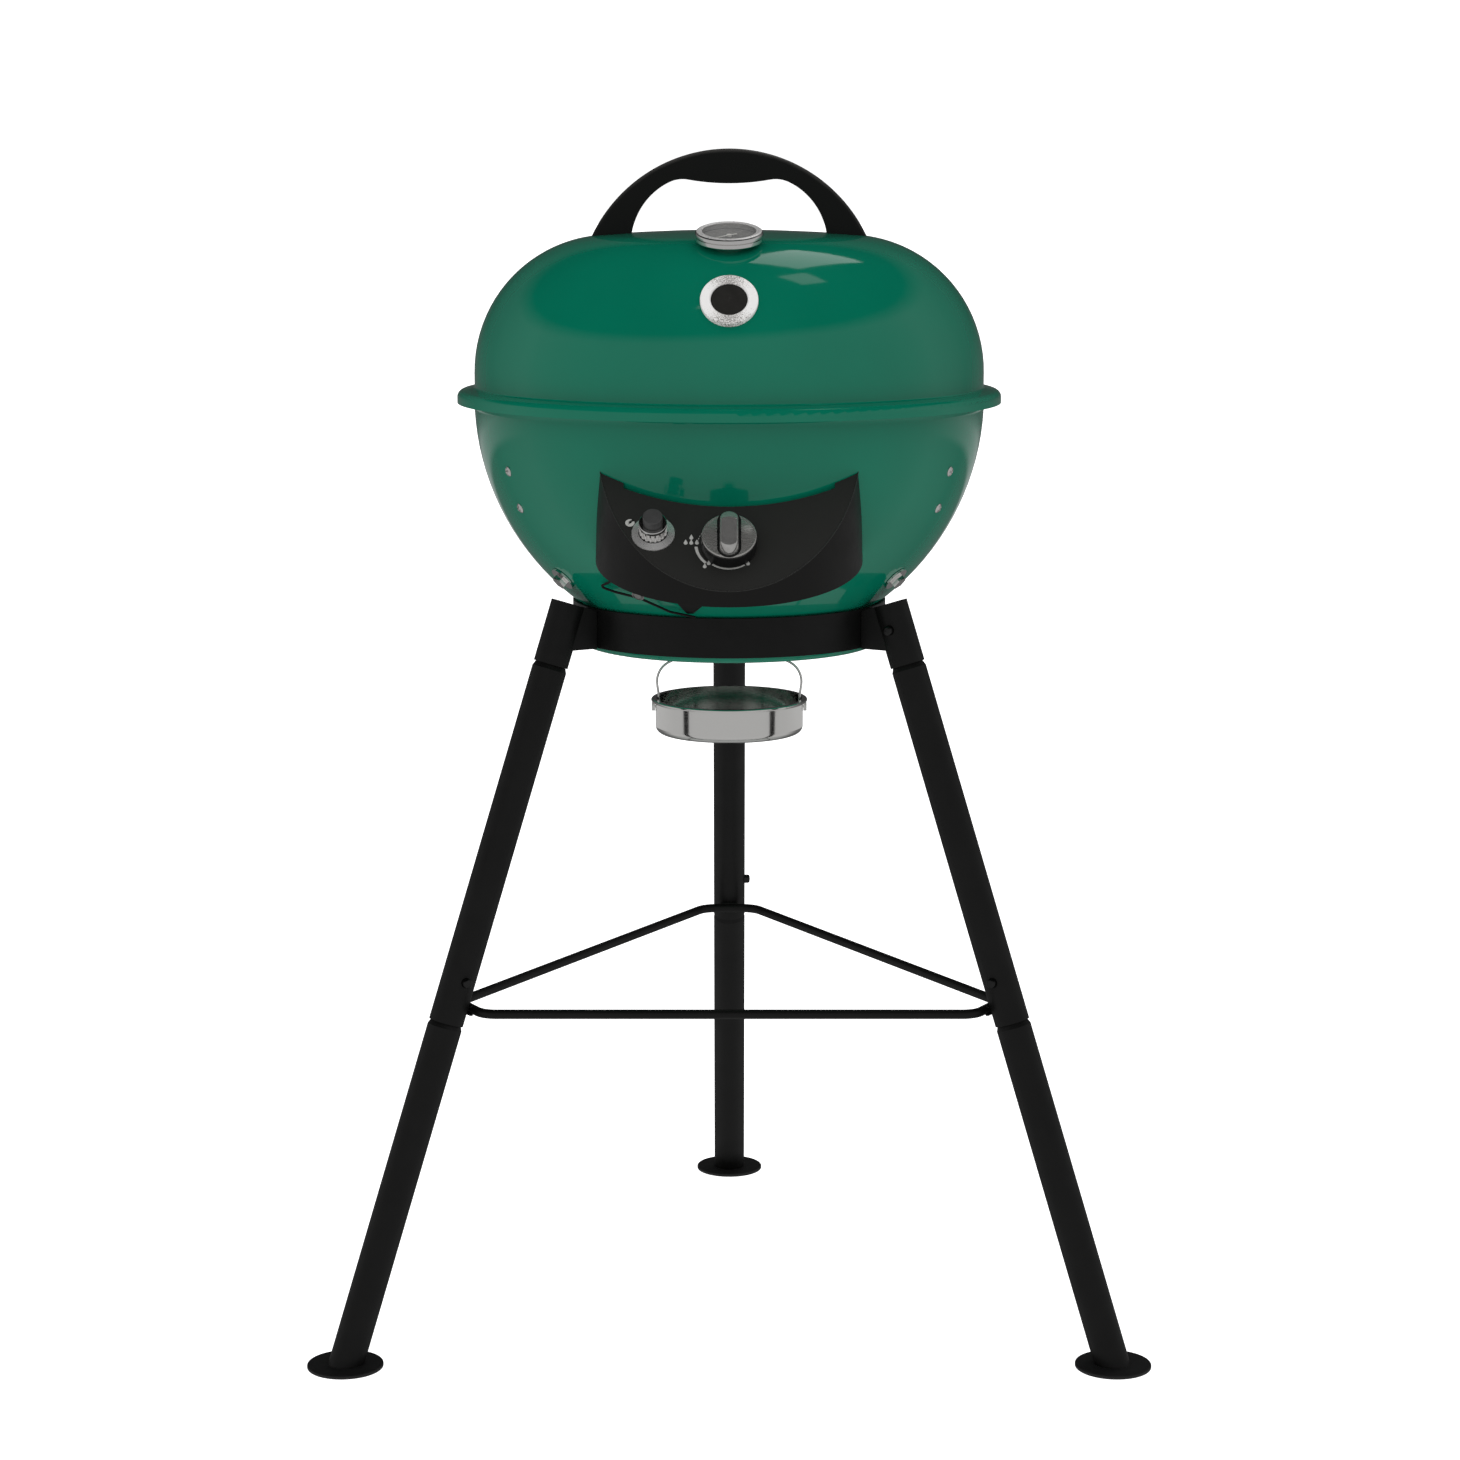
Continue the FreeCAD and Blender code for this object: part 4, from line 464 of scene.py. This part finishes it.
def clear_glass():
    """Flat clear glass, thin enough to be drawn as a see-through sheet."""
    finish = Finish("dial_glass", (0.8, 0.82, 0.82), 0.03)
    finish.set("Alpha", 0.1)
    finish.set("IOR", 1.5)
    finish.tint(finish.grain(40.0, 2.0), 0.05)
    finish.bump(finish.grain(60.0, 1.0), 0.00001, 0.2)
    return finish.material


def matte(name, color, roughness=0.5):
    finish = Finish(name, color, roughness)
    finish.tint(finish.grain(120.0, 3.0), 0.08)
    finish.wear(finish.grain(300.0, 2.0), 0.05)
    finish.bump(finish.grain(900.0, 2.0), 0.00003, 0.5)
    return finish.material


# ---------------------------------------------------------------- places on the object

def own_axes(normal):
    """Axes of a round part: X is level, Z is the normal."""
    across = Vector((1, 0, 0))
    normal = Vector(normal).normalized()
    up = normal.cross(across)
    return Matrix((across, up, normal)).transposed()


PANEL_NORMAL = Vector(joints["knob_turn"]["axis"])
PANEL_AXES = own_axes(PANEL_NORMAL)
KNOB_AT = Vector(joints["knob_turn"]["pos_m"])
IGNITER_AT = middle("igniter_bezel")
DIAL_NORMAL = Vector(joints["pointer_turn"]["axis"])
DIAL_AXES = own_axes(DIAL_NORMAL)
DIAL_AT = Vector(joints["pointer_turn"]["pos_m"])
BADGE_AT = middle("badge_disc")
BADGE_TILT = math.radians(53.5)
BADGE_AXES = own_axes((0, -math.sin(BADGE_TILT), math.cos(BADGE_TILT)))
PAN_AT = Vector((0, middle("drip_pan").y, 0))
LEG_AZIMUTHS = (210.0, -30.0, 90.0)


# ---------------------------------------------------------------- carried-over CAD nodes

def dress(material, *names):
    for name in names:
        cad[name].data.materials.clear()
        cad[name].data.materials.append(material)


def dress_cad():
    coat = powder_coat()
    zinc = plain_metal("zinc_plate", (0.8, 0.8, 0.78), 0.2)
    strip = plain_metal("bracket_steel", (0.5, 0.5, 0.49), 0.3)
    burner = plain_metal("burner_steel", (0.48, 0.46, 0.43), 0.32)
    brass = plain_metal("valve_brass", (0.7, 0.52, 0.24), 0.25)
    wire = plain_metal("plated_wire", (0.9, 0.9, 0.88), 0.25)
    spring = plain_metal("spring_steel", (0.3, 0.31, 0.34), 0.3)
    button = plain_metal("button_zinc", (0.04, 0.04, 0.04), 0.35)

    dress(green_enamel(), "kettle_bowl", "lid_shell")
    dress(handle_plastic(), "lid_handle")
    dress(housing_plastic(), "control_housing")
    dress(coat, "leg_ring", "leg_brace", "brace_sleeves", "hose_guide_wire", "hose_bracket")
    for side in SIDES:
        dress(coat, f"leg_socket_{side}", f"upper_leg_{side}", f"lower_leg_{side}")
        dress(foot_rubber(), f"foot_pad_{side}")
        dress(button, f"snap_button_{side}_middle", f"snap_button_{side}_top")
    dress(satin_chrome("case_chrome", DIAL_AT, DIAL_AXES, 2, 10.2, 0.45), "thermometer_case")
    dress(satin_chrome("bezel_chrome", IGNITER_AT, PANEL_AXES, 1, 11.3, 0.75), "igniter_bezel")
    dress(plain_metal("bolt_zinc", (0.93, 0.92, 0.9), 0.1, 0.04), "bowl_bolts")
    dress(zinc, "handle_screws", "housing_screws",
          "thermometer_nut")
    dress(plain_metal("guide_screw_steel", (0.3, 0.3, 0.29), 0.3), "hose_guide_screw")
    dress(strip, "funnel_brackets", "drip_funnel")
    dress(burner, "ring_burner", "burner_venturi", "burner_bracket", "burner_hood")
    dress(brass, "gas_valve", "injector_nozzle")
    dress(wire, "pan_bail", "pan_hook", "valve_stem")
    dress(spring, "button_springs")
    dress(matte("knob_skirt", (0.006, 0.006, 0.006), 0.35), "gas_knob")
    dress(matte("igniter_grey", (0.05, 0.05, 0.05), 0.4), "ignition_button", "igniter_barrel")
    dress(matte("electrode_glaze", (0.75, 0.73, 0.68), 0.15), "ignition_electrode")
    dress(matte("cooking_enamel", (0.012, 0.012, 0.012), 0.25), "cooking_grid")
    lacquer = matte("badge_lacquer", (0.021, 0.02, 0.018), 0.5)
    lacquer.node_tree.nodes["Principled BSDF"].inputs["Specular IOR Level"].default_value = 0.15
    dress(lacquer, "badge_disc")
    dress(matte("pointer_paint", (0.6, 0.59, 0.55), 0.4), "thermometer_pointer")
    dress(clear_glass(), "thermometer_glass")
    dress(badge_metal(), "badge_ring")
    dress(pan_metal(), "drip_pan")


# ---------------------------------------------------------------- pieces

def piece(name, shape, body, material, at=(0, 0, 0), axes=None, smooth_angle=35.0):
    """Store a bmesh, in millimetres on a part's own axes, as a piece that rides on a body."""
    bmesh.ops.recalc_face_normals(shape, faces=shape.faces)
    data = bpy.data.meshes.new(name)
    shape.to_mesh(data)
    shape.free()
    data.materials.append(material)
    data.transform(Matrix.Scale(MM, 4))
    data.set_sharp_from_angle(angle=math.radians(smooth_angle))
    made = bpy.data.objects.new(name, data)
    turn = (axes or Matrix.Identity(3)).to_4x4()
    made.matrix_world = Matrix.Translation(at) @ turn
    scene.collection.objects.link(made)
    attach(made, body)
    return made


def join_rings(shape, rings):
    """Bridge equal rings of points into a skin, closed by a face at each end."""
    rows = [[shape.verts.new(point) for point in ring] for ring in rings]
    count = len(rows[0])
    for first, second in zip(rows, rows[1:]):
        for index in range(count):
            after = (index + 1) % count
            shape.faces.new((first[index], first[after], second[after], second[index]))
    shape.faces.new(rows[0])
    shape.faces.new(rows[-1])


def turned_skin(shape, outline, segments=72):
    """A skin turned about Z from (radius, height) points, closed at both ends."""
    circle = [2 * math.pi * index / segments for index in range(segments)]
    rings = [[Vector((radius * math.cos(angle), radius * math.sin(angle), height))
              for angle in circle] for radius, height in outline]
    join_rings(shape, rings)


def slab(shape, outline, low, high, bevel=0.0):
    """A flat plate from an outline of (x, y), its upper edge drawn in by the bevel."""
    centre = Vector((sum(x for x, _ in outline), sum(y for _, y in outline))) / len(outline)
    rings = [[Vector((x, y, low)) for x, y in outline],
             [Vector((x, y, high - bevel)) for x, y in outline]]
    if bevel:
        drawn = []
        for x, y in outline:
            away = Vector((x, y)) - centre
            away *= 1 - bevel / max(away.length, bevel)
            drawn.append(Vector((centre.x + away.x, centre.y + away.y, high)))
        rings.append(drawn)
    join_rings(shape, rings)


def arc_points(radius, start, end, steps):
    """Points (x, y) on an arc, in degrees, both ends included."""
    angles = [math.radians(start + (end - start) * step / steps) for step in range(steps + 1)]
    return [(radius * math.cos(angle), radius * math.sin(angle)) for angle in angles]


def arc_band(shape, radii, widths, start, end, low, high, steps=24):
    """A printed arc whose radius and width change evenly from its start to its end."""
    outer, inner = [], []
    for step in range(steps + 1):
        share = step / steps
        angle = math.radians(start + (end - start) * share)
        radius = radii[0] + (radii[1] - radii[0]) * share
        half = (widths[0] + (widths[1] - widths[0]) * share) / 2
        outer.append(((radius + half) * math.cos(angle), (radius + half) * math.sin(angle)))
        inner.append(((radius - half) * math.cos(angle), (radius - half) * math.sin(angle)))
    for index in range(steps):
        slab(shape, [outer[index], outer[index + 1], inner[index + 1], inner[index]], low, high)


def round_of(radius, x, y, steps):
    """Points (x, y) of a full circle about a centre."""
    return [(x + px, y + py) for px, py in arc_points(radius, 0, 360, steps)[:-1]]


def knob_cap(brushed, bright, dark):
    """The knob's brushed disc, with a rim and a fine groove, and its grip set on a black sheet of
    painted shade.
    """
    face = 12.6
    disc = bmesh.new()
    turned_skin(disc, [
        (20.7, face + 0.05), (21.0, face + 0.35), (21.0, face + 1.1), (20.7, face + 1.6),
        (20.1, face + 1.95), (19.4, face + 2.0), (19.1, face + 1.8), (18.8, face + 1.8),
        (18.5, face + 2.0), (0.4, face + 2.0)], 96)
    plate = piece("knob_cap_disc", disc, "knob", brushed, KNOB_AT, PANEL_AXES)
    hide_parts("knob_cap")

    half_width, lower, upper, top = 7.4, -12.0, 13.6, 9.2
    base = face + 1.95
    profile = [(0.0, 0.0), (0.1, 2.4), (0.25, 4.2), (0.4, 5.8), (0.6, 7.0), (0.85, 7.9),
               (1.1, 8.5), (1.4, 8.85), (1.8, 9.08), (2.4, 9.2)]
    rings = []
    for inset, height in profile:
        reach = half_width - inset
        drawn_in = math.sqrt(1 - (height / (top + 0.35)) ** 2)
        dome = (half_width + 0.4) * drawn_in
        start = upper - 7.5 * (1 - drawn_in)
        toe = reach - 1.5 * (height / top) ** 2
        ring = [Vector((reach * x, start + dome * y, base + height))
                for x, y in arc_points(1.0, 0, 180, 24)]
        ring += [Vector((reach * x, lower + toe * y, base + height))
                 for x, y in arc_points(1.0, 180, 360, 24)]
        rings.append(ring)
    grip = bmesh.new()
    join_rings(grip, rings)
    piece("knob_grip", grip, "knob", bright, KNOB_AT, PANEL_AXES, 50.0)

    # Painted shade: a thin black sheet, a little wider than the grip, under its foot, drawn as the
    # dark shade round the grip.
    painted_shade_sheet = bmesh.new()
    reach = half_width + 1.8
    outline = [(reach * x, upper + reach * y) for x, y in arc_points(1.0, 0, 180, 24)]
    outline += [(reach * x, lower + reach * y) for x, y in arc_points(1.0, 180, 360, 24)]
    slab(painted_shade_sheet, outline, base - 0.3, base + 0.12, 0.05)
    piece("knob_grip_painted_shade", painted_shade_sheet, "knob", dark, KNOB_AT, PANEL_AXES)


PRINT_LOW, PRINT_HIGH = 0.02, 0.10
SCREW_SHANK = 7.0


def drop(shape, x, y, size=1.0):
    """A printed flame: round below and pointed above."""
    outline = arc_points(1.5 * size, 160, 380, 16) + [(0.0, 3.6 * size)]
    slab(shape, [(x + px, y + py) for px, py in outline], PRINT_LOW, PRINT_HIGH)


def panel_print(ink, dark):
    """Flame sizes round the knob and a spark by the igniter, printed on the panel's face."""
    shape = bmesh.new()
    for x, y in ((-33.3, 3.6), (-29.0, 3.6), (-24.7, 3.6), (-29.0, 8.4), (14.3, -16.4)):
        drop(shape, x, y)
    drop(shape, -18.6, -19.2, 0.95)
    drop(shape, -15.6, -16.2, 0.95)
    arc_band(shape, (25.3, 23.6), (2.3, 2.0), 180, 221, PRINT_LOW, PRINT_HIGH)
    arc_band(shape, (21.2, 21.0), (1.7, 1.4), 233, 304, PRINT_LOW, PRINT_HIGH)
    for angle in range(142, 172, 6):
        arc_band(shape, (24.6, 24.6), (0.5, 0.5), angle, angle + 3.2, PRINT_LOW, PRINT_HIGH, 2)
    piece("panel_flames", shape, "stand", ink, KNOB_AT, PANEL_AXES)

    centre_x, centre_y = -76.3, 23.2
    spark = bmesh.new()
    slab(spark, round_of(3.6, centre_x, centre_y, 40), PRINT_LOW, PRINT_HIGH)
    piece("panel_spark", spark, "stand", ink, KNOB_AT, PANEL_AXES)
    bolt = [(3.6, 1.7), (2.1, 3.6), (-1.5, 0.6), (-0.4, 0.0), (-1.6, -1.7), (1.5, 0.1), (0.8, 0.7)]
    flash = bmesh.new()
    slab(flash, [(centre_x + x, centre_y + y) for x, y in bolt], PRINT_LOW, PRINT_HIGH + 0.05)
    piece("panel_flash", flash, "stand", dark, KNOB_AT, PANEL_AXES)


def panel_bead(material):
    """The rounded moulding edge where the panel's face meets its skirt."""
    tilt = math.radians(45.5)
    axis_y, foot_z, foot_radius, taper = -155.0, 620.0, 106.2, 3.4 / 120.0
    knob_y, knob_z, bead = -230.5, 676.6, 0.42
    points = []
    for step in range(121):
        angle = math.radians(-80 + 160 * step / 120)
        radius = foot_radius
        for _ in range(6):
            y = axis_y - radius * math.cos(angle)
            z = knob_z + (y - knob_y) * math.tan(tilt)
            radius = foot_radius - (z - foot_z) * taper
        points.append(Vector((radius * math.sin(angle), y, z)))
    rings = []
    for index, point in enumerate(points):
        along = (points[min(index + 1, 120)] - points[max(index - 1, 0)]).normalized()
        side = along.cross(Vector((0, 0, 1))).normalized()
        lift = side.cross(along)
        rings.append([point + (side * x + lift * y) * bead for x, y in arc_points(1.0, 0, 300, 5)])
    shape = bmesh.new()
    join_rings(shape, rings)
    piece("panel_edge", shape, "stand", material, KETTLE_AXIS)


def numeral(text, size, turn, radius):
    """A number as a mesh in millimetres, upright at an angle and radius on a dial."""
    curve = bpy.data.curves.new("numeral", "FONT")
    curve.body = text
    curve.size = size
    curve.extrude = 0.03
    curve.align_x = "CENTER"
    curve.align_y = "CENTER"
    curve.resolution_u = 3
    holder = bpy.data.objects.new("numeral", curve)
    data = bpy.data.meshes.new_from_object(holder)
    angle = math.radians(turn)
    data.transform(Matrix.Translation((radius * math.cos(angle), radius * math.sin(angle), 0)))
    bpy.data.objects.remove(holder)
    return data


DIAL_START, DIAL_SWEEP = 213.0, -246.0


def dial(face, ink, dark_ink):
    """The thermometer's printed dial: a rim line, graduations, numbers and a coloured sector."""
    height = 5.7
    plate = bmesh.new()
    turned_skin(plate, [(22.5, 5.05), (22.5, 5.55), (22.3, height), (1.4, height),
                        (1.2, 5.6), (1.2, 5.1)])
    disc = piece("dial_plate", plate, "lid", face, DIAL_AT, DIAL_AXES)
    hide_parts("thermometer_dial")

    marks = bmesh.new()
    low, high = height - 0.02, height + 0.05
    arc_band(marks, (20.6, 20.6), (0.35, 0.35), DIAL_START, DIAL_START + DIAL_SWEEP, low, high, 60)
    divisions = 40
    for index in range(divisions + 1):
        turn = math.radians(DIAL_START + DIAL_SWEEP * index / divisions)
        long_mark = index % 5 == 0
        inner, half = (17.6, 0.26) if long_mark else (19.1, 0.14)
        out = Vector((math.cos(turn), math.sin(turn)))
        across = Vector((-out.y, out.x)) * half
        corners = [out * 20.5 + across, out * inner + across, out * inner - across,
                   out * 20.5 - across]
        slab(marks, [tuple(corner) for corner in corners], low, high)
    for index in range(9):
        turn = DIAL_START + DIAL_SWEEP * index / 8
        number = numeral(str(index * 50), 3.1, turn, 14.6)
        number.transform(Matrix.Translation((0, 0, height + 0.02)))
        marks.from_mesh(number)
    piece("dial_marks", marks, "lid", ink, DIAL_AT, DIAL_AXES)

    sector = bmesh.new()
    arc_band(sector, (11.4, 11.4), (0.9, 0.9), 150, 60, low, high, 40)
    arc_band(sector, (9.9, 9.9), (0.5, 0.5), 213, -33, low, high, 60)
    piece("dial_rings", sector, "lid", dark_ink, DIAL_AT, DIAL_AXES)


def bowl_place(azimuth, height, radius=210.4, centre_z=774.7):
    """The matrix, in millimetres, of a place on the bowl whose Z points out of it."""
    rise = (height - centre_z) / radius
    elevation = math.asin(rise)
    flat = math.cos(elevation)
    turn = math.radians(azimuth)
    normal = Vector((flat * math.cos(turn), flat * math.sin(turn), rise))
    point = normal * radius + Vector((0, 0, centre_z))
    across = Vector((-math.sin(turn), math.cos(turn), 0))
    axes = Matrix((across, normal.cross(across), normal)).transposed()
    return Matrix.Translation(point) @ axes.to_4x4()


def cross_head(shape, place, radius, rise, spin, shank):
    """A domed screw head with a cross recess, from a fine polar grid, on its plain shank."""
    rings, steps = 14, 64
    circle = [2 * math.pi * step / steps for step in range(steps)]
    rows = []
    for reach, height in ((2.0, -shank), (2.0, 0.0), (radius, 0.0)):
        rows.append([place @ Vector((reach * math.cos(angle), reach * math.sin(angle), height))
                     for angle in circle])
    for ring in range(rings + 1):
        reach = radius * (1 - ring / (rings + 0.6))
        row = []
        for angle in circle:
            height = 0.5 + (rise - 0.5) * (1 - (reach / radius) ** 2)
            turn = angle - spin
            along = max(abs(math.cos(turn)), abs(math.sin(turn))) * reach
            beside = min(abs(math.cos(turn)), abs(math.sin(turn))) * reach
            if along < radius * 0.66 and beside < radius * 0.17:
                height -= rise * 0.62 * (1 - 0.5 * along / (radius * 0.66))
            row.append(place @ Vector((reach * math.cos(angle), reach * math.sin(angle), height)))
        rows.append(row)
    join_rings(shape, rows)


def bowl_screws(material):
    shape = bmesh.new()
    for number, azimuth in enumerate(LEG_AZIMUTHS):
        for row, height in enumerate((722.0, 692.0)):
            spin = 0.4 + number + 0.7 * row
            cross_head(shape, bowl_place(azimuth, height), 4.1, 2.5, spin, SCREW_SHANK)
    screws = piece("bowl_screw_heads", shape, "stand", material, KETTLE_AXIS,
                   smooth_angle=30.0)
    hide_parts("bowl_screws")


def weld_bead(shape, start, end, radius, seed):
    """A short, slightly uneven fillet of weld between two points."""
    along = (end - start).normalized()
    side = along.orthogonal().normalized()
    lift = along.cross(side)
    steps = 20
    rings = []
    for step in range(steps + 1):
        share = step / steps
        swell = math.sqrt(max(0.06, 1 - (2 * share - 1) ** 6))
        swell *= 1 + 0.12 * math.sin(step * 2.1 + seed)
        centre = start.lerp(end, share)
        rings.append([centre + (side * x + lift * y) * radius * swell
                      for x, y in arc_points(1.0, 0, 330, 11)])
    join_rings(shape, rings)


def brace_welds(material):
    """Weld beads where the brace's bar lies against the sleeve of each leg."""
    low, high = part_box("leg_brace")
    height = (low.z + high.z) / 2 / MM
    shape = bmesh.new()
    for number, azimuth in enumerate(LEG_AZIMUTHS):
        turn = math.radians(azimuth)
        out = Vector((math.cos(turn), math.sin(turn), 0))
        across = Vector((-out.y, out.x, 0))
        for sign in (-1, 1):
            centre = out * 246.5 + Vector((0, 0, height + sign * 3.4))
            weld_bead(shape, centre - across * 8.5, centre + across * 8.5, 1.7, number + sign)
    piece("brace_welds", shape, "stand", material, KETTLE_AXIS, smooth_angle=60.0)


def build_pieces():
    ink = matte("panel_ink", (0.52, 0.52, 0.5), 0.5)
    brushed = brushed_metal("cap_steel", (0.52, 0.51, 0.49), 0.27, (0.03, 1.0, 1.0), 0.14, 0.8)
    bright = plain_metal("grip_chrome", (0.6, 0.59, 0.575), 0.09, 0.03, 0.8)
    # The black finish passed last is the painted shade round the knob's grip.
    knob_cap(brushed, bright, matte("grip_painted_shade_black", (0.004, 0.004, 0.004), 0.6))
    panel_print(ink, matte("panel_flash_black", (0.012, 0.012, 0.012), 0.5))
    panel_bead(matte("panel_edge_gloss", (0.02, 0.02, 0.019), 0.3))
    dial(matte("dial_paint", (0.115, 0.112, 0.103), 0.4), matte("dial_ink", (0.26, 0.25, 0.23)),
         matte("dial_line", (0.19, 0.18, 0.165)))
    bowl_screws(plain_metal("screw_zinc", (0.82, 0.82, 0.8), 0.2))
    brace_welds(powder_coat())


# ---------------------------------------------------------------- build

make_camera()
make_world()
make_lights()
make_floor()
dress_cad()
build_pieces()
